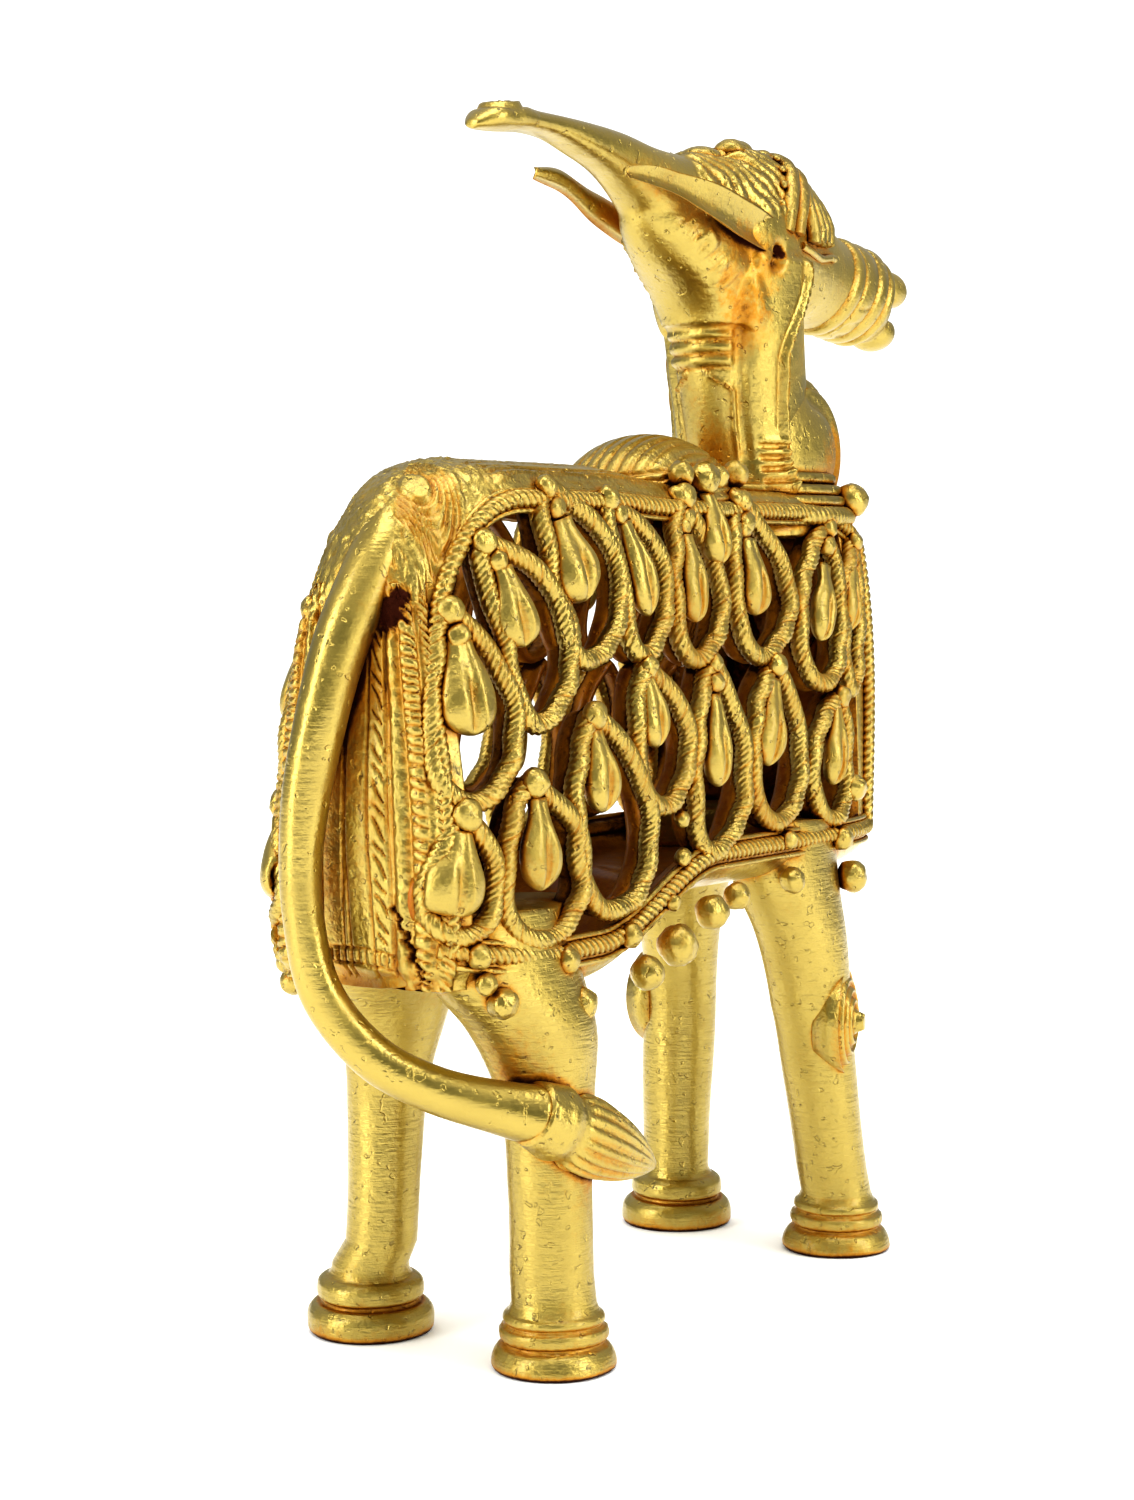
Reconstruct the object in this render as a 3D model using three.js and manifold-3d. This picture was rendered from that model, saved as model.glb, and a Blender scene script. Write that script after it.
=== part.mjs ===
// Nandi: a standing humped bull, cast in one piece of brass. The body is a hollow drum whose
// two sides are an open net of rope loops, each with beads and a leaf drop hung in it.
// Millimetres. +X is the way the bull faces, +Y its left, +Z up; the soles stand on Z = 0.

import * as THREE from "three";
import { mergeVertices } from "three/addons/utils/BufferGeometryUtils.js";
import Module from "manifold-3d";

const wasm = await Module();
wasm.setup();

// Stance, measured from the axle line between the hind feet.
const WHEELBASE = 101.3;
const REAR_HALF_TRACK = 20.5;
const FRONT_HALF_TRACK = 19.4;
const FOOT_RADIUS = 11.1;
const FOOT_HEIGHT = 11.2;
const LEG_RADIUS = 6.75;
// The soles lie this far under the level the heights are taken from.
const SOLE_DROP = 0.8;

// The drum of the body.
const BODY_REAR = -28.5;
const BODY_FRONT = 117;
const SPINE_HEIGHT = 155.6;
const BORDER_HEIGHT = 150.5;
const HEM_HALF_WIDTH = 22.6;
const BORDER_HALF_WIDTH = 15;
const WALL = 4.2;
const BAND_PROUD = 1.6;
const REAR_CORNER = 30;
const FRONT_CORNER = 24;

// The rope of the loops: width along the side, how far it stands out and how deep it runs in.
const ROPE_WIDTH = 3.0;
const ROPE_PROUD = 1.5;
const ROPE_DEEP = 3.4;

// One loop a row: its top bead, its foot, how wide it opens, how far its middle leans forward,
// and the leaf drop inside it: the X and Z of its top and of its tip, and its width.
const LOOPS = [
  { bead: [-12.8, 141.2], foot: [-3.7, 111.1], wide: 16.5, bow: 5.2, drop: [-9.2, 136, -7.6, 124, 7.1] },
  { bead: [3.5, 150.5], foot: [12.7, 121.3], wide: 20.5, bow: 4.2, drop: [6.3, 143.9, 9, 131.2, 8.6] },
  { bead: [22, 149], foot: [28.4, 121.6], wide: 14.6, bow: 5, drop: [28, 144.2, 29.6, 128.7, 6.5] },
  { bead: [47.4, 149.9], foot: [45.3, 120.4], wide: 15.8, bow: 2.4, drop: [46.2, 141.6, 45.2, 127.3, 6.5] },
  { bead: [67.5, 149.4], foot: [69, 120.3], wide: 20, bow: 3.4, drop: [67.5, 141.2, 67.2, 128.1, 7.2] },
  { bead: [99.1, 144.6], foot: [88.7, 114.5], wide: 16, bow: 0, drop: [95.3, 136.2, 90.2, 122.7, 6.1] },
  { bead: [-20.9, 129.8], foot: [-21.6, 98.5], wide: 16, bow: 2.8, drop: [-20.1, 123.6, -20.5, 109.5, 8.6] },
  { bead: [9, 111.6], foot: [17.1, 77.5], wide: 23, bow: 0.9, drop: [9.4, 108.3, 10.6, 95.1, 7.8] },
  { bead: [27.3, 119.3], foot: [31.3, 94.4], wide: 17, bow: 2.2, drop: [26.9, 115.8, 28.5, 105, 6.5] },
  { bead: [49.6, 119.3], foot: [47.6, 84.9], wide: 17.8, bow: 2.3, drop: [48.4, 112.4, 48.4, 97, 6.5] },
  { bead: [71.9, 118.6], foot: [69.9, 88.6], wide: 18, bow: 0.9, drop: [70, 114.4, 67, 99.6, 7.4] },
  { bead: [96.4, 111.4], foot: [91.3, 87.4], wide: 13.6, bow: -1.7, drop: [93.9, 108.8, 91.7, 94.5, 6.1] },
  { bead: [-23.1, 96.5], foot: [-24.5, 76.6], wide: 10.9, bow: 0.9, drop: [-24.4, 93.1, -25.2, 80.4, 8.6] },
  { bead: [-8.6, 101.1], foot: [-6.3, 74.5], wide: 21, bow: 2, drop: [-7.9, 97.4, -8.2, 83.4, 7.7] },
];

// Where the pairs of beads hang below the hem, along X.
const HEM_BEADS = [-19, 1, 21.5, 32, 43, 53, 73.5, 96];
const HEM_BEAD_RADIUS = 2.7;

// Neck and head, each a row of levels along its own line.
const NECK = [
  { x: 99, z: 144, long: 20, wide: 16.5 },
  { x: 101.5, z: 149, long: 20.4, wide: 16.4 },
  { x: 102, z: 151.6, long: 20, wide: 15.8 },
  { x: 102, z: 152.4, long: 18.4, wide: 14.4 },
  { x: 102, z: 154.6, long: 18.2, wide: 14 },
  { x: 101.5, z: 156, long: 17.4, wide: 12 },
  { x: 99.5, z: 165, long: 17.4, wide: 11 },
  { x: 98.4, z: 175, long: 17, wide: 10.4 },
  { x: 98, z: 176.4, long: 17.8, wide: 11.2 },
  { x: 97.4, z: 185, long: 17.8, wide: 11.2 },
  { x: 97, z: 186.6, long: 17, wide: 10.4 },
  { x: 91.5, z: 208, long: 17, wide: 11 },
];
const HEAD = [
  { x: 86, z: 204, high: 16, wide: 11.4 },
  { x: 96, z: 203.5, high: 16, wide: 12 },
  { x: 98, z: 203.3, high: 17, wide: 13.2 },
  { x: 101.5, z: 202.6, high: 16.4, wide: 13 },
  { x: 103, z: 202.2, high: 15, wide: 11.8 },
  { x: 111, z: 200.3, high: 13.6, wide: 11 },
  { x: 124, z: 197.2, high: 10.8, wide: 9 },
  { x: 136, z: 195.8, high: 9.8, wide: 8 },
  { x: 137.4, z: 195.7, high: 10.8, wide: 9 },
  { x: 139.6, z: 195.5, high: 10.6, wide: 8.8 },
  { x: 140.6, z: 195.4, high: 9.7, wide: 7.9 },
  { x: 141.8, z: 195.3, high: 10.4, wide: 8.6 },
  { x: 144.6, z: 195, high: 10.2, wide: 8.4 },
  { x: 146, z: 194.9, high: 9, wide: 7.2 },
  { x: 153, z: 194.2, high: 7.4, wide: 5.8 },
];
const HORN_TIP = 4.5;
const HORN_ROOT = 82;

// The tail: a rod let into the rump, hanging off the rear plate and lying on the right hock.
const TAIL = [
  [-11, -1, 149, 5.4],
  [-21, -1.8, 142.5, 5.4],
  [-29, -1.2, 131.5, 5],
  [-34.4, 0.8, 117, 4.5],
  [-37.3, 3.4, 98, 3.9],
  [-37, 4.2, 80, 3.6],
  [-35, 1.4, 66, 3.6],
  [-30, -5, 56, 3.8],
  [-23, -12, 50.5, 4.0],
  [-15.5, -19.5, 47, 4.6],
  [-9.5, -25, 44.8, 5.4],
];
const TUFT_TIP = [15.5, -30.5, 33];

const RIGHT = -1;
const LEFT = 1;

// Small solids, each one closed.

const vector = (x, y, z) => new THREE.Vector3(x, y, z);

function solid(geometry) {
  const plain = geometry.clone();
  plain.deleteAttribute("normal");
  plain.deleteAttribute("uv");
  const merged = mergeVertices(plain, 1e-4);
  return new wasm.Manifold(
    new wasm.Mesh({
      numProp: 3,
      vertProperties: new Float32Array(merged.attributes.position.array),
      triVerts: new Uint32Array(merged.index.array),
    }),
  );
}

function closed(points, faces) {
  let volume = 0;
  for (const [a, b, c] of faces) {
    volume += points[a].dot(vector(0, 0, 0).crossVectors(points[b], points[c]));
  }
  const index = faces.flatMap(([a, b, c]) => (volume < 0 ? [a, c, b] : [a, b, c]));
  const geometry = new THREE.BufferGeometry();
  geometry.setAttribute(
    "position",
    new THREE.Float32BufferAttribute(points.flatMap((p) => [p.x, p.y, p.z]), 3),
  );
  geometry.setIndex(index);
  return solid(geometry);
}

// A skin over rings of the same count. An open row of rings is capped at both ends, each cap
// drawn out to a point where one is given.
function loft(rings, joined = false, tips = []) {
  const count = rings[0].length;
  const points = rings.flat();
  const faces = [];
  const spans = joined ? rings.length : rings.length - 1;
  for (let i = 0; i < spans; i += 1) {
    const here = i * count;
    const next = ((i + 1) % rings.length) * count;
    for (let j = 0; j < count; j += 1) {
      const k = (j + 1) % count;
      faces.push([here + j, here + k, next + k]);
      faces.push([here + j, next + k, next + j]);
    }
  }
  if (!joined) {
    for (const end of [0, rings.length - 1]) {
      const centre = vector(0, 0, 0);
      rings[end].forEach((p) => centre.addScaledVector(p, 1 / count));
      points.push(tips[end === 0 ? 0 : 1] ?? centre);
      for (let j = 0; j < count; j += 1) {
        const a = end * count + j;
        const b = end * count + ((j + 1) % count);
        faces.push(end === 0 ? [points.length - 1, b, a] : [points.length - 1, a, b]);
      }
    }
  }
  return closed(points, faces);
}

function ellipse(centre, along, across, longRadius, wideRadius, count) {
  return Array.from({ length: count }, (_, i) => {
    const turn = (2 * Math.PI * i) / count;
    return centre
      .clone()
      .addScaledVector(along, longRadius * Math.cos(turn))
      .addScaledVector(across, wideRadius * Math.sin(turn));
  });
}

function rod(path, sides) {
  const points = path.map(([x, y, z]) => vector(x, y, z));
  const rings = points.map((p, i) => {
    const ahead = points[Math.min(i + 1, points.length - 1)];
    const behind = points[Math.max(i - 1, 0)];
    const run = ahead.clone().sub(behind).normalize();
    const across = vector(0, 1, 0).cross(run).normalize();
    const other = run.clone().cross(across);
    return ellipse(p, across, other, path[i][3], path[i][4] ?? path[i][3], sides);
  });
  return loft(rings);
}

function bead(centre, radii, turns = 5, levels = 3) {
  const geometry = new THREE.SphereGeometry(1, turns, levels);
  geometry.scale(radii[0], radii[1], radii[2]);
  geometry.translate(centre.x, centre.y, centre.z);
  return solid(geometry);
}

// The drum: its half width, the line of its roof edge and the line of its hem.

const clamp = (v) => Math.min(Math.max(v, 0), 1);
const ease = (v) => clamp(v) ** 2 * (3 - 2 * clamp(v));
const quarter = (v) => 1 - Math.sqrt(1 - clamp(v) ** 2);

// The sides lean in above the hem. In plan the corners are square at the hem and draw in
// further and softer near the roof at the rump, less at the chest.
function halfWidth(x, z) {
  const flare = HEM_HALF_WIDTH - BORDER_HALF_WIDTH;
  const side = HEM_HALF_WIDTH - flare * Math.abs((z - 76) / 74) ** 2.2;
  const high = ease((z - 80) / 60);
  const t = clamp((BODY_REAR + REAR_CORNER - x) / REAR_CORNER);
  const rear = (8 + high) * ((1 - high) * quarter(t) + high * t ** 1.5);
  const front = (9 - 6 * high) * quarter((x - BODY_FRONT + FRONT_CORNER) / FRONT_CORNER);
  return side - rear - front;
}

function roofHeight(x) {
  const rear = 21 * quarter((-5 - x) / 23.5);
  const front = 14 * quarter((x - 98) / 19);
  return SPINE_HEIGHT - 3.6 * ease((x - 30) / 30) - rear - front;
}

function borderHeight(x) {
  const rear = 41 * quarter((-2 - x) / 24.5);
  const front = 12 * quarter((x - 95) / 22);
  return BORDER_HEIGHT - 0.8 * ease((x - 25) / 20) - rear - front;
}

function hemHeight(x) {
  return 70.6 + 12.6 * ease((x - 10) / 40) + 2.6 * (Math.min(x, 0) / 26) ** 2;
}

function onSide(side, x, z, out = 0) {
  const step = 0.5;
  const dx = (halfWidth(x + step, z) - halfWidth(x - step, z)) / (2 * step);
  const dz = (halfWidth(x, z + step) - halfWidth(x, z - step)) / (2 * step);
  const normal = vector(-dx, side, -dz).normalize();
  return { at: vector(x, side * halfWidth(x, z), z).addScaledVector(normal, out), normal };
}

function drumRing(x) {
  const hem = hemHeight(x);
  const border = borderHeight(x);
  const roof = roofHeight(x);
  const level = (t) => hem + (border - hem) * t;
  const wide = (z, out) => [halfWidth(x, z) + out, z];
  const edge = halfWidth(x, border);
  const half = [
    [0.6 * edge, hem - 5.8],
    wide(hem - 3.6, -0.6),
    wide(hem - 0.4, BAND_PROUD),
    wide(hem + 2.4, 0),
    wide(level(0.5), 0),
    wide(border - 3.6, 0),
    wide(border - 1.2, BAND_PROUD),
    [0.76 * edge, border + 0.6 * (roof - border)],
  ];
  return [
    vector(x, 0, hem - 6.4),
    ...half.map(([y, z]) => vector(x, y, z)),
    vector(x, 0, roof),
    ...half.reverse().map(([y, z]) => vector(x, -y, z)),
  ];
}

function hollowRing(x) {
  const floor = hemHeight(x) - 1.6;
  const border = borderHeight(x) - 2.6;
  const roof = roofHeight(x) - WALL;
  const middle = (floor + border) / 2;
  const half = [
    [halfWidth(x, floor) - WALL - 2, floor],
    [halfWidth(x, middle) - WALL, middle],
    [halfWidth(x, border) - WALL, border - 1],
    [0.6 * (halfWidth(x, border) - WALL), roof - 1],
  ];
  return [
    ...half.map(([y, z]) => vector(x, y, z)),
    ...half.reverse().map(([y, z]) => vector(x, -y, z)),
  ];
}

const STATIONS = [0, 1, 3, 6.5, 11.5, 19, 31, 50, 76, 120, 136, 145.5];
const drum = loft(STATIONS.map((s) => drumRing(BODY_REAR + s)));
const HOLLOW = [5.9, 9, 14, 22, 36, 54, 78, 122, 138];
const hollow = loft(HOLLOW.map((s) => hollowRing(BODY_REAR + s)));
let bull = drum.subtract(hollow);

// The window in each side that the net of loops fills.
function windowOutline() {
  const upper = [-23.4, -21.5, -18, -13, -6, 4, 22, 45, 94, 107];
  const lower = [107, 55, 43, 32, 20, 8, -8, -23.4];
  return [
    ...upper.map((x) => [x, borderHeight(x) - 4]),
    ...lower.map((x) => [x, hemHeight(x) + 3.2]),
  ];
}

// A plate in the window's outline, grown by a little, from one depth along Y to another.
function windowPlate(grow, from, to) {
  const outline = windowOutline().reverse();
  const middle = outline.reduce((sum, [x, z]) => [sum[0] + x, sum[1] + z], [0, 0]);
  const place = (y) =>
    outline.map(([x, z]) => {
      const away = new THREE.Vector2(x - middle[0] / outline.length, z - middle[1] / outline.length);
      away.set(Math.sign(away.x) * grow, Math.sign(away.y) * grow);
      return vector(x + away.x, y, z + away.y);
    });
  const near = place(from);
  const far = place(to);
  const count = outline.length;
  const flat = outline.map(([x, z]) => new THREE.Vector2(x, z));
  const faces = [];
  for (const [i, j, k] of THREE.ShapeUtils.triangulateShape(flat, [])) {
    const turned = THREE.ShapeUtils.area([flat[i], flat[j], flat[k]]) < 0;
    const [p, q] = turned ? [k, j] : [j, k];
    faces.push([i, p, q]);
    faces.push([i + count, q + count, p + count]);
  }
  for (let i = 0; i < count; i += 1) {
    const j = (i + 1) % count;
    faces.push([j, i, i + count]);
    faces.push([j, i + count, j + count]);
  }
  return closed([...near, ...far], faces);
}
bull = bull.subtract(windowPlate(0, -34, -6)).subtract(windowPlate(0, 6, 34));

// The net: rope loops, their beads and leaf drops, laid out flat and bent to the side.

// Half opening of a loop at a share of its length: pointed at the bead, round at the foot.
const opening = (share) => (share ** 0.8 * Math.sqrt(1 - share)) / 0.4195;

function axis({ bead: top, foot }) {
  const run = new THREE.Vector2(foot[0] - top[0], foot[1] - top[1]);
  return { length: run.length(), run: run.clone().normalize() };
}

function ropeLoop(loop, steps) {
  const { length, run } = axis(loop);
  const place = (turn) => {
    const share = Math.sin(turn / 2) ** 2;
    const half = 0.5 * loop.wide * opening(share) * Math.sign(Math.sin(turn));
    const off = half + loop.bow * Math.sin(Math.PI * share);
    return vector(
      loop.bead[0] + run.x * share * length - run.y * off,
      0,
      loop.bead[1] + run.y * share * length + run.x * off,
    );
  };
  const rings = Array.from({ length: steps }, (_, i) => {
    const turn = (2 * Math.PI * (i + 0.5)) / steps;
    const along = place(turn + 0.02).sub(place(turn - 0.02)).normalize();
    const across = vector(-along.z, 0, along.x).multiplyScalar(ROPE_WIDTH / 2);
    return [
      [-1, -ROPE_DEEP],
      [1, -ROPE_DEEP],
      [1, ROPE_PROUD],
      [-1, ROPE_PROUD],
    ].map(([share, out]) => place(turn).addScaledVector(across, share).add(vector(0, out, 0)));
  });
  return loft(rings, true);
}

// A bead, and the leaf drop hung from it if there is one, as one turned piece with flat sides.
function knot(loop, hasDrop) {
  const [topX, topZ, tipX, tipZ, fat] = loop.drop;
  const bead = vector(loop.bead[0], 0.9, loop.bead[1]);
  const top = vector(topX, 0.9, topZ);
  const tip = vector(tipX, 0.9, tipZ);
  const run = tip.clone().sub(bead).normalize();
  const across = vector(-run.z, 0, run.x);
  const profile = [[bead, 3, 2.7]];
  if (hasDrop) {
    profile.push([top, 1.7, 1.5]);
    profile.push([tip.clone().lerp(top, 0.3), fat / 2, fat * 0.34]);
  } else {
    profile.push([bead.clone().addScaledVector(run, 1.5), 2.4, 2]);
  }
  const rings = profile.map(([at, wide, thick]) =>
    ellipse(at, across, vector(0, 1, 0), wide, thick, 4),
  );
  const above = bead.clone().addScaledVector(run, -3);
  const below = bead.clone().addScaledVector(run, 3.4);
  return loft(rings, false, [above, hasDrop ? tip : below]);
}

// Bends a solid laid out flat, with Y as the height above the side, on to one side of the drum.
function bent(flat, side) {
  const { vertProperties: at, triVerts, numVert } = flat.getMesh();
  const points = Array.from({ length: numVert }, (_, i) =>
    onSide(side, at[3 * i], at[3 * i + 2], at[3 * i + 1]).at,
  );
  const faces = Array.from({ length: triVerts.length / 3 }, (_, i) =>
    Array.from(triVerts.slice(3 * i, 3 * i + 3)),
  );
  return closed(points, faces);
}

const ropes = LOOPS.map((loop) => ropeLoop(loop, 8)).reduce((a, b) => a.add(b));
const net = ropes.intersect(windowPlate(0.8, -12, 12));
const hung = LOOPS.map((loop) => knot(loop, true)).reduce((a, b) => a.add(b), net);
const plain = LOOPS.map((loop) => knot(loop, false)).reduce((a, b) => a.add(b), net);
bull = bull.add(bent(hung, RIGHT)).add(bent(plain, LEFT));

// Beads along the hem.

// A small bead on the hem band and the bigger one hanging under it.
function hemPair(x, size, beaded) {
  const z = hemHeight(x);
  const place = (down, out) => vector(x + (down < -3 ? 1.5 : 0), out - 1, z + down);
  const levels = [...(beaded ? [[0.9, 1.15, 2.6]] : []), [-2.6, 0.7, 0.6], [-5, 1.3, 2], [-8.4, 1.2, 2.2]];
  const rings = levels.map(([down, wide, out]) => {
    const r = wide * HEM_BEAD_RADIUS * size;
    return ellipse(place(down, out), vector(1, 0, 0), vector(0, 1, 0), r, r, 5);
  });
  const top = place(beaded ? 4.4 : 1, 0.4);
  return bent(loft(rings, false, [top, place(-10.6, 1.8)]), beaded ? RIGHT : LEFT);
}
HEM_BEADS.forEach((x, i) => {
  const size = i % 2 ? 0.9 : 1;
  bull = bull.add(hemPair(x, size, true)).add(hemPair(x, size, false));
});

// Legs and feet.

// The ringed foot, as shares of its radius and height, and above it the levels of the leg.
const FOOT = [
  [0, 0.97],
  [0.32, 1],
  [0.46, 0.8],
  [0.72, 0.87],
  [1, 0.64],
];

function leg(x, side, track, levels, { lean = 0, tuck = 0, stout = 1 }) {
  const across = [vector(1, 0, 0), vector(0, 1, 0)];
  const foot = FOOT.map(([height, share]) => {
    const r = share * FOOT_RADIUS;
    const level = height * (FOOT_HEIGHT + SOLE_DROP) - SOLE_DROP;
    return ellipse(vector(x, side * track, level), ...across, r, r, 10);
  });
  const shaft = levels.map(([z, shift, inward, long, wide]) => {
    const leant = shift + lean * clamp((z - 8) / 42);
    const centre = vector(x + leant, side * (track - inward - tuck), z);
    return ellipse(centre, ...across, long * stout, wide * stout, 10);
  });
  return loft([...foot, ...shaft]);
}

const HIND = [
  [16, 0, 0.2, LEG_RADIUS, LEG_RADIUS],
  [48, -0.6, 1, 8.4, 7.6],
  [59, -2, 3, 12, 9.4],
  [67, -5, 5.6, 15.6, 10],
  [80, -7, 7, 16, 9],
];
const FORE = [
  [16, 0, 0, LEG_RADIUS, LEG_RADIUS],
  [50, 0, 0.8, 7.4, 7],
  [65, -2, 2, 9.8, 8],
  [76, -4.5, 4, 12.8, 8.8],
  [88, -6, 5, 14, 9],
];
bull = bull
  .add(leg(0, RIGHT, REAR_HALF_TRACK, HIND, { tuck: 0.4, stout: 1.07 }))
  .add(leg(0.5, LEFT, REAR_HALF_TRACK, HIND, { lean: 3, tuck: 1.8, stout: 0.97 }))
  .add(leg(WHEELBASE, RIGHT, FRONT_HALF_TRACK, FORE, { lean: -9.5, stout: 1.08 }))
  .add(leg(WHEELBASE + 0.6, LEFT, FRONT_HALF_TRACK, FORE, { lean: 0.2, stout: 1.06 }));

// A ringed disc with a knob on the outside of each foreleg.
for (const side of [RIGHT, LEFT]) {
  const centre = vector(side === RIGHT ? 93 : 101.5, side * 18.4, 47);
  const facing = vector(0.3, side, 0).normalize();
  const across = vector(0, 0, 1).cross(facing).normalize();
  const up = vector(0, 0, 1);
  const rings = [
    [4, 9.6],
    [7.4, 10],
    [9.2, 2.6],
    [11, 1.6],
  ].map(([out, r]) => ellipse(centre.clone().addScaledVector(facing, out), across, up, 0.8 * r, r, 7));
  bull = bull.add(loft(rings));
}

// Tail, rosette and hump.

bull = bull.add(rod(TAIL, 7));

function tuft() {
  const end = TAIL[TAIL.length - 1];
  const start = vector(end[0], end[1], end[2]);
  const tip = vector(...TUFT_TIP);
  const run = tip.clone().sub(start);
  const across = vector(0, 1, 0).cross(run).normalize();
  const other = run.clone().normalize().cross(across);
  const rings = [
    [-0.08, 6, 5.4],
    [0.14, 6.4, 5.6],
    [0.2, 5.6, 5],
    [0.34, 6.9, 5.6],
    [0.62, 5.8, 4.4],
    [1, 0.8, 0.8],
  ].map(([share, high, wide]) =>
    ellipse(start.clone().addScaledVector(run, share), across, other, high, wide, 9),
  );
  return loft(rings);
}
bull = bull.add(tuft());

bull = bull.add(bead(vector(-11, -1, 150.6), [9, 9.5, 3.2], 10, 4));
bull = bull.add(bead(vector(61.5, 0, 148.6), [18, 14, 14], 12, 7));

// Neck, head, horns and ears.

const neck = NECK.map(({ x, z, long, wide }) =>
  ellipse(vector(x, 0, z), vector(1, 0, 0), vector(0, 1, 0), long, wide, 12),
);
bull = bull.add(loft(neck));

// The bib on the front of the neck.
bull = bull.add(bead(vector(110.5, 0, 165), [9.5, 11.4, 12], 10, 6));

const head = HEAD.map(({ x, z, high, wide }) =>
  ellipse(vector(x, 0, z), vector(0, 0, 1), vector(0, 1, 0), high, wide, 10),
);
bull = bull.add(loft(head));

// The nose above the open mouth, and the lip below.
bull = bull.add(bead(vector(153, 0, 197.2), [5, 5.4, 4], 7, 4));
bull = bull.add(bead(vector(150.5, 0, 188.6), [5.6, 4.6, 3.6], 7, 4));

// Crown of wrapped hair with three beads, and the locks over each eye.
bull = bull.add(bead(vector(90, 0, 212.6), [15, 9.5, 7], 10, 5));
for (const [x, z, r] of [
  [90, 218.4, 3.4],
  [95.5, 217.8, 3.1],
  [100, 216.4, 2.8],
]) {
  bull = bull.add(bead(vector(x, 0, z), [r, r * 1.1, r]));
}
for (const side of [RIGHT, LEFT]) {
  bull = bull.add(bead(vector(110.5, side * 8.8, 203.4), [6.5, 3.8, 6.4], 6, 4));
}

// The two horns joined in one bar that sweeps back from the crown, with a disc near its tip.
function hornBar() {
  const levels = [
    [0, 214.6, 1.6, 2],
    [0.05, 215.2, 2.8, 4],
    [0.2, 216.4, 2.7, 4.2],
    [0.4, 216.6, 3, 4.6],
    [0.58, 214.2, 4.4, 5.2],
    [0.74, 210.4, 7, 6.4],
    [0.88, 206.5, 10.6, 8],
    [1.02, 204, 13, 9.6],
  ];
  const rings = levels.map(([share, z, high, wide]) => {
    const x = HORN_TIP + (HORN_ROOT - HORN_TIP) * share;
    const lean = 0.35 * share;
    return ellipse(vector(x, 0, z), vector(lean, 0, 1).normalize(), vector(0, 1, 0), high, wide, 8);
  });
  return loft(rings);
}
bull = bull.add(hornBar());
bull = bull.add(bead(vector(13.5, 0, 217.6), [5.4, 4.6, 2], 8, 4));

// A pair of hollowed leaf ears that point back beside the horn bar.
function leafEar(side) {
  const high = side === LEFT ? 1.6 : 0;
  const path = [
    [93, 10, 199.6, 2.2, 3],
    [82, 12.6, 202.6, 2.6, 3.6],
    [72, 13, 204.4, 2.6, 3.5],
    [62, 12.4, 206.3, 2.2, 2.8],
    [50, 11.4, 208.2 + high, 1.8, 2],
    [38.5, 10, 209 + high, 1.2, 1.2],
  ];
  const rings = path.map(([x, y, z, thick, wide]) => {
    const centre = vector(x, side * y, z);
    const spread = vector(0.1, side * 0.35, 0.94).normalize();
    const face = vector(0.2, side * 0.94, -0.35).normalize();
    const share = [-1, -0.5, 0.5, 1, 0.4, -0.4];
    const lift = [0.55, -0.9, -0.9, 0.55, 0, 0];
    return share.map((s, i) =>
      centre.clone().addScaledVector(spread, s * wide).addScaledVector(face, lift[i] * thick),
    );
  });
  return loft(rings);
}
bull = bull.add(leafEar(RIGHT)).add(leafEar(LEFT));

// The lappet down each side of the neck, from the ear to the collar, with a ribbed fringe.
function lappet(side) {
  const levels = [
    [199, 95, 11.2, 3.5],
    [191, 90, 11.2, 6.6],
    [182, 88.5, 11.4, 7.6],
    [161, 89.5, 11.8, 6.8],
    [150, 91.5, 14.6, 5.4],
  ];
  const rings = levels.map(([z, x, y, half]) =>
    [
      [-half, -5.4],
      [half, -3.2],
      [half, 1.2],
      [half - 2.4, 0],
      [-half, -2.8],
    ].map(([dx, out]) => vector(x + dx, side * (y + out), z)),
  );
  return loft(rings);
}
bull = bull.add(lappet(RIGHT)).add(lappet(LEFT));

// Beads massed at the foot of the neck.
for (const side of [RIGHT, LEFT]) {
  for (const [x, z, r] of [
    [51, 146.5, 3.6],
    [73, 150, 3.6],
  ]) {
    bull = bull.add(bead(onSide(side, x, z, 0.6).at, [r, r * 0.9, r]));
  }
  bull = bull.add(bead(vector(113, side * 14, 149), [4.6, 4.6, 4.6], 5, 4));
}

// One casting, set with the middle of its footprint box at the origin.

const mesh = bull.getMesh();
const geometry = new THREE.BufferGeometry();
geometry.setAttribute("position", new THREE.Float32BufferAttribute(mesh.vertProperties, 3));
geometry.setIndex(new THREE.Uint32BufferAttribute(mesh.triVerts, 1));
geometry.computeBoundingBox();
const middle = geometry.boundingBox.getCenter(new THREE.Vector3());
geometry.translate(-middle.x, -middle.y, -geometry.boundingBox.min.z);
geometry.computeVertexNormals();

const brass = new THREE.MeshStandardMaterial({ color: "#c9a13f", roughness: 0.32, metalness: 1 });
const nandi = new THREE.Mesh(geometry, brass);
nandi.name = "nandi";

const part = new THREE.Group();
part.name = "nandi-statue";
part.add(nandi);

export default part;
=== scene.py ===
# %% [markdown]
# # A cast brass nandi
#
# The real object is a small standing bull, cast in one piece of brass by the lost-wax way. The
# maker rolled wax threads, twisted them into ropes, laid them as hanging loops on a clay core and
# pressed beads and leaf drops on top. So this script does what the maker did: it works out one
# smooth body surface first, and then lays ropes, coils, beads and drops on that surface.
#
# All numbers are millimetres, measured from the axle line between the hind feet: +X is the way
# the bull faces, +Y its left, +Z up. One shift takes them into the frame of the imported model.

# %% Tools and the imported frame
import math

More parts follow.
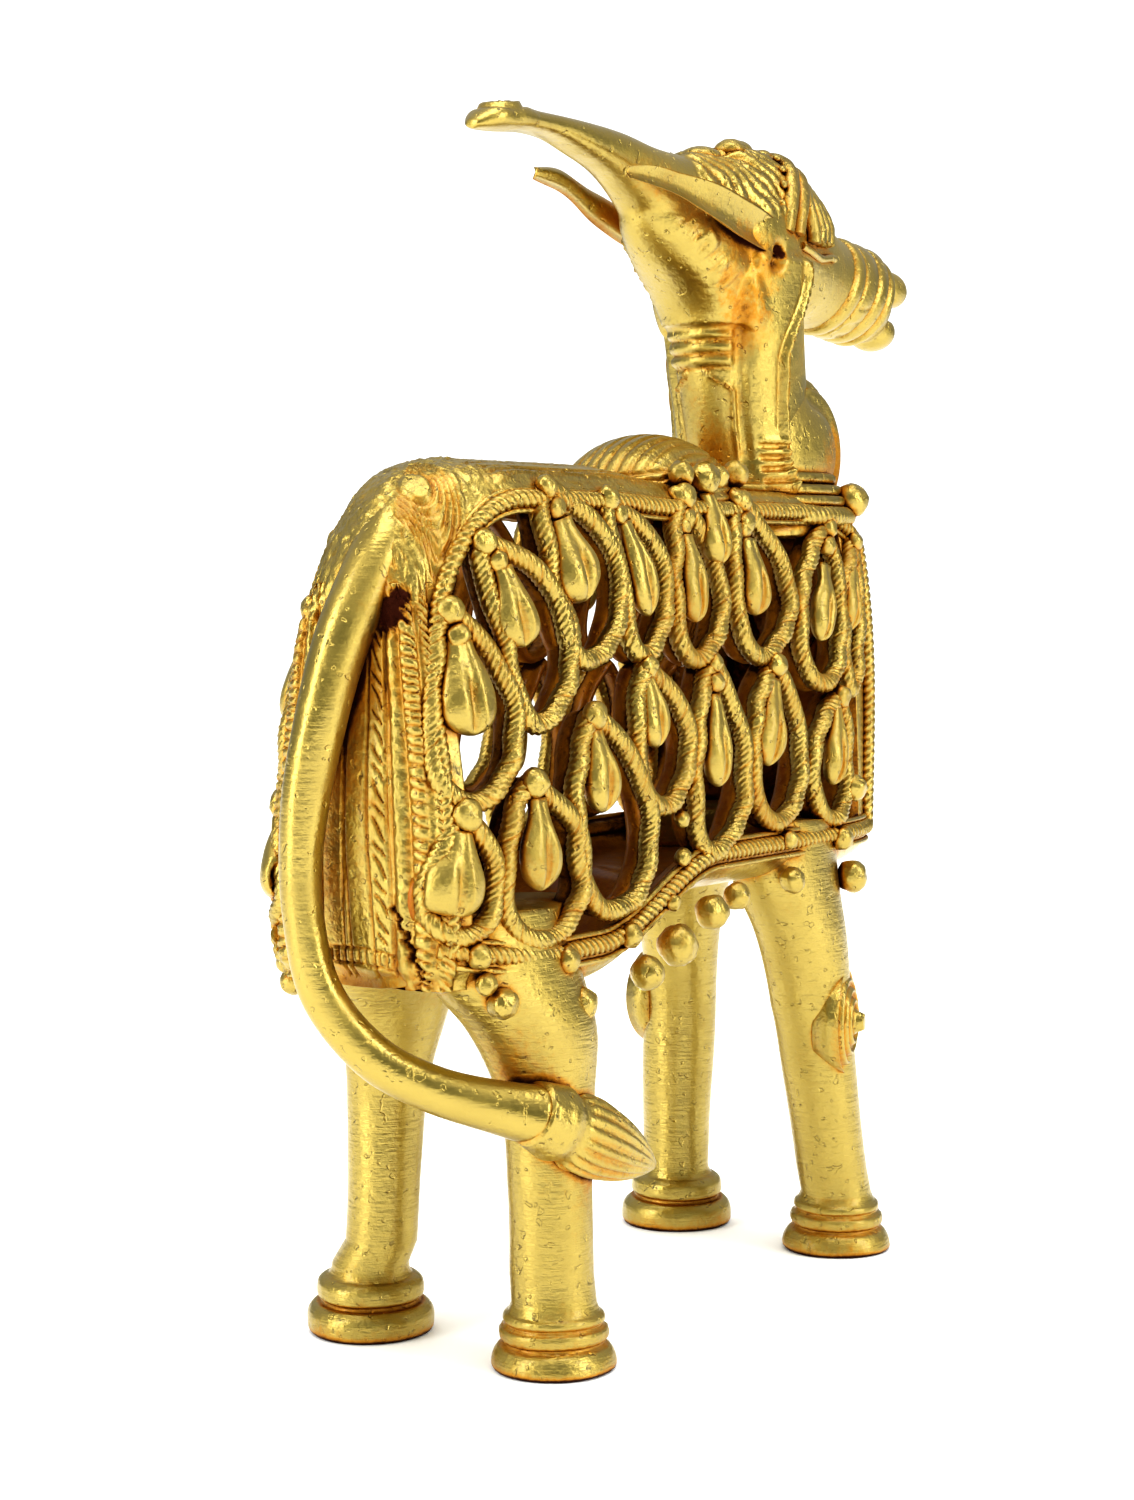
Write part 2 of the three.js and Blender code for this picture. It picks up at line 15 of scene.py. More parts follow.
import bmesh
import bpy
import numpy as np
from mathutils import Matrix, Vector


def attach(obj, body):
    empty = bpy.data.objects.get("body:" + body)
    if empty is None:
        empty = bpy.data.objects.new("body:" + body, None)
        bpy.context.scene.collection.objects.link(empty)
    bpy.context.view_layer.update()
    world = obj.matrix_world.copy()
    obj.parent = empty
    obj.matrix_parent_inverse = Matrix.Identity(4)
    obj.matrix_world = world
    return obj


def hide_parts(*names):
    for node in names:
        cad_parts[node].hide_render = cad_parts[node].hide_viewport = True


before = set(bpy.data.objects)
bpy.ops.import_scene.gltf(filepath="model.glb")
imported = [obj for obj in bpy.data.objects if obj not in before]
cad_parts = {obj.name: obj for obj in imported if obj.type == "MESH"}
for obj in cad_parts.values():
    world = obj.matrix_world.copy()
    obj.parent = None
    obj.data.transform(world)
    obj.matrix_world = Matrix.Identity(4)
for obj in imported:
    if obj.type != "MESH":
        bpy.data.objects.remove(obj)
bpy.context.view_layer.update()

MM = 0.001
SHIFT = np.array([-57.91, 0.8, 0.8])
RIGHT, LEFT = -1, 1
SIDES = {"right": RIGHT, "left": LEFT}


def metres(points):
    """Places of this script, in millimetres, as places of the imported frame."""
    return (np.asarray(points) + SHIFT) * MM


def placed(name, data):
    item = bpy.data.objects.new(name, data)
    bpy.context.collection.objects.link(item)
    return item


# %% [markdown]
# ## Camera, floor and light
#
# The photograph looks at the bull from behind its right flank, from about the height of its back.
# The floor is plain and pale. Polished metal shows what stands around it more than its own colour,
# so the light is a pale room with soft boxes, a darker side behind the camera and a dim band at
# the height of the horizon: that gives the broad bright and olive bands of the photograph.

# %% Camera
CAMERA_AT = (-380.3, -287.1, 137.2)
CAMERA_YAW = math.radians(34.76)
CAMERA_PITCH = math.radians(3.83)
PHOTO_HIGH = 1500
FOCAL_PIXELS = 2732.4
SENSOR = 36

camera_data = bpy.data.cameras.new("camera")
camera_data.sensor_width = SENSOR
camera_data.lens = FOCAL_PIXELS * SENSOR / PHOTO_HIGH
camera_data.clip_start = 0.01
camera_data.clip_end = 20
camera = placed("camera", camera_data)
bpy.context.scene.camera = camera
camera.location = metres(CAMERA_AT)
level = math.cos(CAMERA_PITCH)
ahead = (math.cos(CAMERA_YAW) * level, math.sin(CAMERA_YAW) * level, -math.sin(CAMERA_PITCH))
camera.rotation_euler = Vector(ahead).to_track_quat("-Z", "Y").to_euler()
bpy.context.scene.view_settings.view_transform = "Standard"
bpy.context.scene.view_settings.look = "High Contrast"
print("lens", round(camera_data.lens, 2), "mm; camera at", [round(v, 3) for v in camera.location])


# %% [markdown]
# ## Node maths as plain expressions
#
# A socket wrapped in `Value` adds, multiplies and so on by making Math nodes, so a formula in a
# tree reads as a formula. Every other node comes from the one method `add`. The same two classes
# build the finishes, the room and, further down, the geometry trees.

# %% Values and trees
class Value:
    """One output socket of a tree."""

    def __init__(self, net, socket):
        self.net = net
        self.socket = socket

    def join(self, operation, *terms):
        return self.net.add("ShaderNodeMath", dict(enumerate(terms)), operation=operation)

    def __add__(self, other):
        return self.join("ADD", self, other)

    def __sub__(self, other):
        return self.join("SUBTRACT", self, other)

    def __rsub__(self, other):
        return self.join("SUBTRACT", other, self)

    def __mul__(self, other):
        return self.join("MULTIPLY", self, other)

    def __truediv__(self, other):
        return self.join("DIVIDE", self, other)

    def __pow__(self, other):
        return self.join("POWER", self, other)

    __radd__ = __add__
    __rmul__ = __mul__


class Net:
    """A node tree under construction."""

    def __init__(self, tree):
        self.tree = tree
        tree.nodes.clear()

    def add(self, kind, sockets=None, output=0, **settings):
        node = self.tree.nodes.new(kind)
        for key, setting in settings.items():
            setattr(node, key, setting)
        for key, content in (sockets or {}).items():
            if isinstance(content, Value):
                self.tree.links.new(content.socket, node.inputs[key])
            else:
                node.inputs[key].default_value = content
        return Value(self, node.outputs[output]) if node.outputs else None

    def vector(self, operation, sockets, output=0):
        return self.add("ShaderNodeVectorMath", sockets, output, operation=operation)

    def between(self, value, low, high):
        """0 below low, 1 above high, smooth between."""
        limits = {"Value": value, "From Min": low, "From Max": high}
        return self.add("ShaderNodeMapRange", limits, interpolation_type="SMOOTHSTEP")

    def blend(self, factor, first, second):
        sockets = {"Factor": factor, 6: first, 7: second}
        return self.add("ShaderNodeMix", sockets, output=2, data_type="RGBA")

    def noise(self, where, scale, detail=3.0, roughness=0.55):
        sockets = {"Vector": where, "Scale": scale, "Detail": detail, "Roughness": roughness}
        return self.add("ShaderNodeTexNoise", sockets)


def finish_of(name):
    """A new material and its empty tree."""
    material = bpy.data.materials.new(name)
    material.use_nodes = True
    return material, Net(material.node_tree)


# %% [markdown]
# ## Old polished brass
#
# The high places are rubbed bright and yellow. Where the cloth never reaches, between the strands
# of a rope or under a bead, the metal is amber, and in the deepest corners red-brown. An ambient
# occlusion node measures how closed in a spot is, once over a millimetre and once over a
# centimetre: the millimetre one gives the patina of the grooves, the centimetre one paints shade
# into wider hollows and the drum's inside. A few listed spots paint more shade, and corrosion at
# the rump hole. Fine scratches, dents, pits and a cast grain go in as bump.

# %% Brass
# AMBER and UMBER colour the groove patina and the painted shade of hollows; DARK_GOLD is the
# inside's patina darkened further as painted shade.
GOLD = (0.468, 0.358, 0.099, 1)
AMBER = (0.56, 0.265, 0.022, 1)
UMBER = (0.060, 0.012, 0.003, 1)
DARK_GOLD = (0.36, 0.125, 0.012, 1)
GROOVE_REACH, HOLLOW_REACH, DRUM_REACH = 0.0016, 0.011, 0.035
CLOUDS, SPECKS, SCRATCHES, RAGS, DENTS, PITS = 75.0, 900.0, 1500.0, 420.0, 260.0, 620.0
ALONG_Z = (0.10, 0.10, 1.0)


def corrosion_and_shade_spot(x, y, z, reach, strength):
    """A darkened spot, its reach and its strength: painted shade, with corrosion at the rump hole.
    """
    return tuple(metres([x, y, z])), reach * MM, strength


# Rump spots: the corroded hole by the tail, darker still as painted shade of its depth, and painted
# shade under the tail.
RUMP_CORROSION_AND_SHADE = [
    corrosion_and_shade_spot(-28.6, -8.3, 129.6, 3.6, 1.25),
    corrosion_and_shade_spot(-28.0, -9.3, 132.4, 2.4, 1.2),
    corrosion_and_shade_spot(-29.0, -5.0, 121.0, 10.0, 0.18),
]
# Head spots, all painted shade: in the hollow by the ear, under the ear root, on the neck and
# inside the bib.
HEAD_SHADE = [
    corrosion_and_shade_spot(87.4, -13.2, 198.8, 1.9, 0.95),
    corrosion_and_shade_spot(80.0, -11.0, 195.0, 12.0, 0.42),
    corrosion_and_shade_spot(81.3, -9.0, 184.0, 9.0, 0.34),
    corrosion_and_shade_spot(79.0, -5.0, 160.0, 9.0, 0.30),
    corrosion_and_shade_spot(113.0, -9.0, 158.0, 13.0, 0.42),
]


def brass(name, patina_and_shade, grain, brushed, rough, gold=GOLD, reach=HOLLOW_REACH, corrosion_and_shade_spots=()):
    """Polished brass; its darkening factor deepens groove patina and painted shade, grain and
    brushed the relief.
    """
    material, net = finish_of(name)
    where = net.add("ShaderNodeTexCoord", output="Object")
    fine, wide = [
        net.add("ShaderNodeAmbientOcclusion", {"Distance": far}, "AO", samples=8)
        for far in (GROOVE_REACH, reach)
    ]
    cloud = net.noise(where, CLOUDS, 4.0)
    speck = net.noise(where, SPECKS, 3.0, 0.6)
    drawn_out = net.add("ShaderNodeMapping", {"Vector": where, "Scale": ALONG_Z})
    scratches = net.noise(drawn_out, SCRATCHES, 3.0, 0.65)
    # closed: patina from the millimetre occlusion, painted shade from the centimetre one, random
    # tone from the noises.
    closed = (1 - fine) * 1.1 + (1 - wide) * 0.55 + (cloud - 0.5) * 0.9 + (speck - 0.5) * 0.5
    ragged = (net.noise(where, RAGS, 3.0, 0.7) - 0.5) * 0.9
    # Each listed spot adds painted shade; at the rump hole also corrosion.
    for spot, size, strength in corrosion_and_shade_spots:
        away = net.vector("DISTANCE", {0: where, 1: spot}, "Value")
        far = away * (1 / size) + ragged
        closed = closed + strength * (1 - net.between(far, 0.35, 1.0))
    amber = net.between(closed * patina_and_shade, 0.12, 0.66)
    umber = net.between(closed * patina_and_shade, 0.58, 1.15)
    colour = net.blend(umber, net.blend(amber, gold, AMBER), UMBER)
    roughness = rough + 0.20 * net.between(cloud, 0.35, 0.75) + 0.16 * amber + 0.15 * umber
    dents = net.noise(where, DENTS, 2.0, 0.5)
    pits = net.between(net.noise(where, PITS, 1.0, 0.4), 0.66, 0.74)
    height = speck * (0.55 * grain) + scratches * (0.35 * brushed) + dents * (0.9 * grain)
    height = height - pits * (0.9 * grain)
    bump = {"Strength": 0.62, "Distance": 0.0003, "Height": height}
    look = {
        "Base Color": colour,
        "Metallic": 1 - 0.15 * umber,
        "Roughness": roughness,
        "Coat Weight": 0.35 * (1 - umber),
        "Coat Roughness": 0.16,
        "Normal": net.add("ShaderNodeBump", bump),
    }
    shader = net.add("ShaderNodeBsdfPrincipled", look)
    net.add("ShaderNodeOutputMaterial", {"Surface": shader})
    print("finish", name, "with", len(net.tree.nodes), "nodes")
    return material


SMOOTH_BRASS = brass("smooth brass", patina_and_shade=0.85, grain=0.9, brushed=1.3, rough=0.28)
HEAD_BRASS = brass("head brass", patina_and_shade=1.05, grain=1.5, brushed=0.9, rough=0.30, corrosion_and_shade_spots=HEAD_SHADE)
FILED_BRASS = brass("filed brass", patina_and_shade=1.1, grain=1.7, brushed=3.6, rough=0.32)
WORKED_BRASS = brass(
    "worked brass", patina_and_shade=1.15, grain=2.6, brushed=0.4, rough=0.30, corrosion_and_shade_spots=RUMP_CORROSION_AND_SHADE
)
ROPE_BRASS = brass("rope brass", patina_and_shade=0.85, grain=2.6, brushed=0.0, rough=0.30)
DROP_BRASS = brass("drop brass", patina_and_shade=1.05, grain=1.9, brushed=1.1, rough=0.36)
# The inner walls: a darker copy of the brass, their patina deepened by painted shade over the
# drum's width.
INNER_SHADED_BRASS = brass(
    "inner shaded brass", patina_and_shade=1.9, grain=1.6, brushed=0.0, rough=0.5, gold=DARK_GOLD, reach=DRUM_REACH
)


# %% Floor
FLOOR_SIZE = 6.0
FLOOR_WHITE = (0.93, 0.93, 0.92, 1)


def pale_floor():
    material, net = finish_of("pale floor")
    look = {"Base Color": FLOOR_WHITE, "Roughness": 0.7}
    shader = net.add("ShaderNodeBsdfPrincipled", look)
    net.add("ShaderNodeOutputMaterial", {"Surface": shader})
    mesh = bpy.data.meshes.new("floor")
    half = FLOOR_SIZE / 2
    corners = [(-half, -half, 0), (half, -half, 0), (half, half, 0), (-half, half, 0)]
    mesh.from_pydata(corners, [], [(0, 1, 2, 3)])
    mesh.materials.append(material)
    placed("floor", mesh)


pale_floor()


# %% Soft boxes and the pale room
AIM = (0.0, 0.0, 0.11)


def soft_box(name, at, size, power):
    light = bpy.data.lights.new(name, "AREA")
    light.shape = "RECTANGLE"
    light.size, light.size_y = size
    light.energy = power
    holder = placed(name, light)
    holder.location = at
    holder.rotation_euler = (Vector(AIM) - Vector(at)).to_track_quat("-Z", "Y").to_euler()


soft_box("box left", (-0.80, 0.35, 0.45), (0.30, 0.9), 3.4)
soft_box("box right", (0.10, -0.95, 0.50), (0.35, 0.8), 3.4)
soft_box("box above", (-0.10, -0.10, 1.1), (0.7, 0.7), 4)

BEHIND_CAMERA = (-0.72, -0.62, -0.25)
WHITE = (1.0, 1.0, 1.0, 1)
OLIVE_SHADE = (0.84, 0.95, 0.80, 1)


def pale_room():
    """White to the camera, a fill on rough surfaces, and dimmer where the metal mirrors it."""
    world = bpy.data.worlds.new("pale room")
    bpy.context.scene.world = world
    world.use_nodes = True
    net = Net(world.node_tree)
    where = net.add("ShaderNodeTexCoord", output="Generated")
    facing = net.vector("DOT_PRODUCT", {0: where, 1: BEHIND_CAMERA}, "Value")
    behind = net.between(facing, 0.30, 0.95)
    height = net.add("ShaderNodeSeparateXYZ", {"Vector": where}, "Z")
    band = net.between(height, -0.25, 0.05) * (1 - net.between(height, 0.10, 0.45))
    seen = net.add("ShaderNodeLightPath", output="Is Camera Ray")
    fill = net.add("ShaderNodeLightPath", output="Is Diffuse Ray")
    mirrored = 0.47 - 0.15 * behind - 0.16 * band
    strength = seen * 1.0 + (1 - seen) * (fill * 1.15 + (1 - fill) * mirrored)
    dim = (behind * 0.6 + band * 0.4) * (1 - seen)
    tint = net.blend(dim, WHITE, OLIVE_SHADE)
    light = net.add("ShaderNodeBackground", {"Color": tint, "Strength": strength})
    net.add("ShaderNodeOutputWorld", {"Surface": light})


pale_room()


# %% [markdown]
# ## Skins, tubes and pieces
#
# Nearly every smooth part of the bull is a row of rings with a skin over them. `flow` draws a
# smooth line through a few measured rows, `skin` closes the rings to a shell, and `piece` turns
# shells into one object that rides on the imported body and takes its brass.

# %% Small curves
def clamp(v):
    return np.clip(v, 0.0, 1.0)


def ease(v):
    """0 to 1 with soft ends."""
    v = clamp(v)
    return v * v * (3 - 2 * v)


def quarter(v):
    """0 to 1 along a quarter circle that starts flat."""
    return 1 - np.sqrt(1 - clamp(v) ** 2)


def ridge(v, at, wide):
    """A rounded ridge of height 1 at a place along v."""
    return np.exp(-(((v - at) / wide) ** 2))


def circle(count):
    """Angles once round."""
    return 2 * np.pi * np.arange(count) / count


def lengths(line):
    """How far along a line each of its points lies."""
    return np.concatenate([[0], np.cumsum(np.linalg.norm(np.diff(line, axis=0), axis=1))])


def flow(rows, count, reach=3):
    """A smooth line through rows of numbers; its pace follows the first few of them."""
    rows = np.array(rows, float)
    t = lengths(rows[:, :reach])
    slope = np.gradient(rows, t, axis=0)
    s = np.linspace(0, t[-1], count)
    i = np.clip(np.searchsorted(t, s, side="right") - 1, 0, len(t) - 2)
    h = (t[i + 1] - t[i])[:, None]
    u = (s - t[i])[:, None] / h
    return (
        (2 * u**3 - 3 * u**2 + 1) * rows[i]
        + (u**3 - 2 * u**2 + u) * h * slope[i]
        + (-2 * u**3 + 3 * u**2) * rows[i + 1]
        + (u**3 - u**2) * h * slope[i + 1]
    )


def wobble(points, size, scale):
    """The unevenness of hand work: slow waves in every direction."""
    p = np.asarray(points) / scale
    x, y, z = p[..., 0], p[..., 1], p[..., 2]
    wave = [
        np.sin(y * 1.7 + z * 1.1 + 0.4),
        np.sin(z * 1.3 + x * 1.9 + 1.7),
        np.sin(x * 1.2 + y * 1.6 + 2.9),
    ]
    return points + size * np.stack(wave, axis=-1)


# %% Skins
def skin(rings, loop=False):
    """Points and faces of a shell over rings; an open row is closed by a fan at both ends."""
    rings = np.asarray(rings, float)
    rows, count, _ = rings.shape
    points = list(rings.reshape(-1, 3))
    spans = rows if loop else rows - 1
    i = np.arange(spans)[:, None] * count
    j = np.arange(count)[None, :]
    k = (j + 1) % count
    above = (i + count) % (rows * count)
    faces = np.stack([i + j, i + k, above + k, above + j], axis=-1).reshape(-1, 4).tolist()
    if not loop:
        for end in (0, rows - 1):
            points.append(rings[end].mean(axis=0))
            for a in range(count):
                fan = [len(points) - 1, end * count + (a + 1) % count, end * count + a]
                faces.append(fan if end == 0 else fan[::-1])
    return np.array(points), faces


def gathered(shells):
    """Several shells as one."""
    points, faces, start = [], [], 0
    for shell_points, shell_faces in shells:
        points.append(shell_points)
        faces += [[v + start for v in face] for face in shell_faces]
        start += len(shell_points)
    return np.concatenate(points), faces


def oval(centre, along, across, long_radius, wide_radius, count, power=1.0):
    """A ring round a centre; a power under 1 squares it."""
    turn = circle(count)
    c, s = np.cos(turn), np.sin(turn)
    c = np.sign(c) * np.abs(c) ** power
    s = np.sign(s) * np.abs(s) ** power
    along, across = np.array(along, float), np.array(across, float)
    return np.array(centre) + long_radius * c[:, None] * along + wide_radius * s[:, None] * across


def level_oval(centre, long_radius, wide_radius, count):
    """A ring that lies level, long from front to back."""
    return oval(centre, (1, 0, 0), (0, 1, 0), long_radius, wide_radius, count)


def unit(v):
    v = np.asarray(v, float)
    return v / np.linalg.norm(v, axis=-1, keepdims=True)


# %% Pieces
pieces = []


def settle(item, finishes):
    """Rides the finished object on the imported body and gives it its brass."""
    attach(item, "root")
    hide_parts("nandi")
    for material in finishes:
        item.data.materials.append(material)
    triangles = sum(len(face.vertices) - 2 for face in item.data.polygons)
    pieces.append((item.name, triangles))
    print(f"{item.name}: {triangles} triangles")


def outward(mesh):
    """Turns every closed shell's faces outwards."""
    made = bmesh.new()
    made.from_mesh(mesh)
    bmesh.ops.remove_doubles(made, verts=made.verts, dist=1e-7)
    bmesh.ops.recalc_face_normals(made, faces=made.faces)
    made.to_mesh(mesh)
    made.free()
    mesh.polygons.foreach_set("use_smooth", [True] * len(mesh.polygons))


def bare(name, shells):
    points, faces = gathered(shells)
    mesh = bpy.data.meshes.new(name)
    mesh.from_pydata(metres(points).tolist(), [], faces)
    outward(mesh)
    return placed(name, mesh)


def piece(name, shells, material):
    settle(bare(name, shells), [material])


# %% [markdown]
# ## The body surface
#
# The drum has an upright oval section that leans in towards the spine. Its rump is square at the
# hem and soft near the roof. `half_width` says how far a side stands out at any place, and
# everything that lies on the flank is bent on to it by `on_side`.

# %% Lines of the drum
BODY_REAR, BODY_FRONT = -28.5, 117.0
SPINE_HEIGHT, BORDER_HEIGHT = 155.6, 150.5
HEM_HALF_WIDTH, BORDER_HALF_WIDTH = 22.6, 15.0
REAR_CORNER, FRONT_CORNER = 30.0, 24.0
WINDOW_REAR, WINDOW_FRONT = -23.4, 107.0
WALL = 3.6


def half_width(x, z):
    flare = HEM_HALF_WIDTH - BORDER_HALF_WIDTH
    side = HEM_HALF_WIDTH - flare * np.abs((z - 76) / 74) ** 2.2
    high = ease((z - 80) / 60)
    t = clamp((BODY_REAR + REAR_CORNER - x) / REAR_CORNER)
    rear = (8 + high) * ((1 - high) * quarter(t) + high * t**1.5)
    front = (9 - 6 * high) * quarter((x - BODY_FRONT + FRONT_CORNER) / FRONT_CORNER)
    return side - rear - front


def roof_height(x):
    rear = 21 * quarter((-5 - x) / 23.5)
    front = 14 * quarter((x - 98) / 19)
    return SPINE_HEIGHT - 3.6 * ease((x - 30) / 30) - rear - front


def border_height(x):
    rear = 41 * quarter((-2 - x) / 24.5)
    front = 12 * quarter((x - 95) / 22)
    return BORDER_HEIGHT - 0.8 * ease((x - 25) / 20) - rear - front


def hem_height(x):
    return 70.6 + 12.6 * ease((x - 10) / 40) + 2.6 * (np.minimum(x, 0) / 26) ** 2


def side_normal(side, x, z):
    step = 0.5
    dx = (half_width(x + step, z) - half_width(x - step, z)) / (2 * step)
    dz = (half_width(x, z + step) - half_width(x, z - step)) / (2 * step)
    return unit(np.stack([-dx, side * np.ones_like(dx), -dz], axis=-1))


def on_side(side, x, z, out):
    """Points on a flank, a little out from it."""
    x, z, out = np.broadcast_arrays(*(np.asarray(v, float) for v in (x, z, out)))
    at = np.stack([x, side * half_width(x, z), z], axis=-1)
    return at + side_normal(side, x, z) * out[..., None]


def flank_line(side, flat, out):
    """A flat line, rows of x and z, laid on the flank."""
    return on_side(side, flat[:, 0], flat[:, 1], out)


# %% Sections of the drum
def drum_section(x):
    """Half a section, from under the belly over the flank to the spine, as rows of y and z."""
    hem, border, roof = hem_height(x), border_height(x), roof_height(x)
    edge = half_width(x, border)
    low, high = hem + 3.2, border - 4.0
    foot = half_width(x, hem)
    under = [
        (0, hem - 6.4), (0.5 * edge, hem - 6.1), (foot - 3.4, hem - 5.0), (foot - 0.4, hem - 2.6),
        (foot + 0.8, hem - 0.6), (half_width(x, low) + 0.1, low),
    ]
    under = flow(under, 22, 2)
    rise = np.linspace(low, high, 46)[1:-1]
    flank = np.stack([half_width(x, rise), rise], axis=-1)
    above = [
        (half_width(x, high), high), (half_width(x, border - 1.4) + 0.5, border - 1.4),
        (edge - 0.5, border + 1.0), (0.76 * edge, border + 0.60 * (roof - border)),
        (0.40 * edge, roof - 0.12 * (roof - border)), (0, roof),
    ]
    half = np.concatenate([under, flank, flow(above, 26, 2)])
    return half, len(under) - 1, len(under) + len(flank)


def drum_ring(x):
    half, low, high = drum_section(x)
    right = np.stack([np.full(len(half), x), -half[:, 0], half[:, 1]], axis=-1)
    left = right[1:-1][::-1] * np.array([1, -1, 1])
    return np.concatenate([right, left]), low, high


def drum_shell():
    rear = BODY_REAR + np.array([0, 0.15, 0.6, 1.3, 2.2, 3.2, 4.2])
    middle = np.linspace(WINDOW_REAR, WINDOW_FRONT, 110)
    front = np.linspace(WINDOW_FRONT, BODY_FRONT - 0.6, 9)[1:]
    stations = np.concatenate([rear, middle, front, [BODY_FRONT - 0.15, BODY_FRONT]])
    rings = [drum_ring(x) for x in stations]
    low, high = rings[0][1:]
    rings = np.array([ring[0] for ring in rings])
    count = rings.shape[1]
    points, faces = skin(rings)
    kept = []
    for face in faces:
        if len(face) == 4:
            station, column = divmod(face[0], count)
            column = min(column, count - 1 - column)
            inside = stations[station] >= WINDOW_REAR - 0.01
            inside = inside and stations[station] < WINDOW_FRONT - 0.01
            if inside and low <= column < high:
                continue
        kept.append(face)
    return points, kept


def hollow_drum():
    """The shell with its windows, thickened inwards; wall and edges take the darker inner brass,
    patina and painted shade.
    """
    item = bare("drum", [drum_shell()])
    settle(item, [WORKED_BRASS, INNER_SHADED_BRASS])
    wall = item.modifiers.new("wall", "SOLIDIFY")
    wall.thickness = WALL * MM
    wall.offset = -1
    wall.use_even_offset = False
    wall.material_offset = 1
    wall.material_offset_rim = 1


hollow_drum()


# %% [markdown]
# ## Ropes and coils
#
# A rope is a few strands laid round each other. Geometry Nodes make it from any line: the line is
# cut into short steps, a lobed outline is swept along it, and a tilt that grows with the length
# turns the lobes into strands. A coil is the same with a short lead.

# %% The rope tree
class Growth(Net):
    """A geometry tree: geometry and named inputs in, one painted mesh out."""

    def __init__(self, name, **wanted):
        super().__init__(bpy.data.node_groups.new(name, "GeometryNodeTree"))
        ports = self.tree.interface
        for title, kind in {"Geometry": "Geometry", **wanted, "Material": "Material"}.items():
            ports.new_socket(title, in_out="INPUT", socket_type="NodeSocket" + kind)
        ports.new_socket("Geometry", in_out="OUTPUT", socket_type="NodeSocketGeometry")
        self.inlet = self.tree.nodes.new("NodeGroupInput")

    def given(self, title):
        return Value(self, self.inlet.outputs[title])

    def close(self, geometry):
        real = self.add("GeometryNodeRealizeInstances", {"Geometry": geometry})
        smooth = self.add("GeometryNodeSetShadeSmooth", {"Geometry": real})
        paint = {"Geometry": smooth, "Material": self.given("Material")}
        painted = self.add("GeometryNodeSetMaterial", paint)
        self.add("NodeGroupOutput", {"Geometry": painted})
        return self.tree


def rope_tree():
    wanted = dict.fromkeys(["Radius", "Strands", "Depth", "Lead", "Step"], "Float")
    net = Growth("twisted rope", **wanted, Corners="Int")
    cut_up = {"Curve": net.given("Geometry"), "Length": net.given("Step")}
    line = net.add("GeometryNodeResampleCurve", cut_up, mode="LENGTH")
    far = net.add("GeometryNodeSplineParameter", output="Length")
    tilt = far / net.given("Lead") * (2 * math.pi)
    laid = net.add("GeometryNodeSetCurveTilt", {"Curve": line, "Tilt": tilt})
    size = {"Resolution": net.given("Corners"), "Radius": net.given("Radius")}
    ring = net.add("GeometryNodeCurvePrimitiveCircle", size, mode="RADIUS")
    here = net.add("GeometryNodeInputPosition")
    x, y = [net.add("ShaderNodeSeparateXYZ", {"Vector": here}, name) for name in "XY"]
    half_lobes = y.join("ARCTAN2", y, x) * net.given("Strands") * 0.5
    crest = half_lobes.join("ABSOLUTE", half_lobes.join("COSINE", half_lobes))
    swell = crest**0.55 * net.given("Depth") + 1.0
    moved = net.vector("SCALE", {0: here, "Scale": swell})
    outline = net.add("GeometryNodeSetPosition", {"Geometry": ring, "Position": moved})
    sweep = {"Curve": laid, "Profile Curve": outline, "Fill Caps": True}
    return net.close(net.add("GeometryNodeCurveToMesh", sweep))


ROPE_TREE = rope_tree()


# %% Laying ropes
def as_curve(name, lines):
    """Poly curves through rows of points; a line marked closed comes back to its start."""
    curve = bpy.data.curves.new(name, "CURVE")
    curve.dimensions = "3D"
    curve.twist_mode = "MINIMUM"
    for points, closed in lines:
        spline = curve.splines.new("POLY")
        spline.points.add(len(points) - 1)
        rows = np.concatenate([metres(points), np.ones((len(points), 1))], axis=1)
        spline.points.foreach_set("co", rows.ravel())
        spline.use_cyclic_u = closed
    return placed(name, curve)


def plain_mesh(name, holder):
    """What an object's modifiers make of it, as one mesh; the object goes."""
    ready = holder.evaluated_get(bpy.context.evaluated_depsgraph_get())
    mesh = bpy.data.meshes.new_from_object(ready)
    mesh.name = name
    bpy.data.objects.remove(holder)
    return mesh


def grown(name, holder, tree, given, material):
    """Runs a geometry tree on an object and settles the result as one plain mesh."""
    growth = holder.modifiers.new("growth", "NODES")
    growth.node_group = tree
    given = {**given, "Material": material}
    for socket in tree.interface.items_tree:
        if socket.in_out == "INPUT" and socket.name in given:
            growth[socket.identifier] = given[socket.name]
    mesh = plain_mesh(name, holder)
    outward(mesh)
    mesh.materials.clear()
    settle(placed(name, mesh), [material])


def ropes(name, lines, radius, lead, strands=3.0, depth=0.17, step=0.36, corners=12):
    given = {
        "Radius": radius * MM,
        "Strands": strands,
        "Depth": depth,
        "Lead": lead * MM,
        "Step": (step) * MM,
        "Corners": corners,
    }
    grown(name, as_curve(name + " lines", lines), ROPE_TREE, given, ROPE_BRASS)


# %% [markdown]
# ## The net of loops
#
# Loops hang in three rows, each from a bead and pointed there, round at the foot, and most of them
# lean forward in the middle. Seven fine strands run slantwise round each rope. Behind the rope a
# ribbon of wall runs inwards, which is the thickness of the casting. Every loop is measured from
# the photograph; the left flank repeats the right one.

# %% Loops
LOOP_PARTS = ("bead", "foot", "wide", "bow", "top", "tip", "fat", "beads")


def loop(*row):
    """Bead, foot, width and forward lean; the drop's top, tip and width; the beads' radii."""
    return dict(zip(LOOP_PARTS, row))


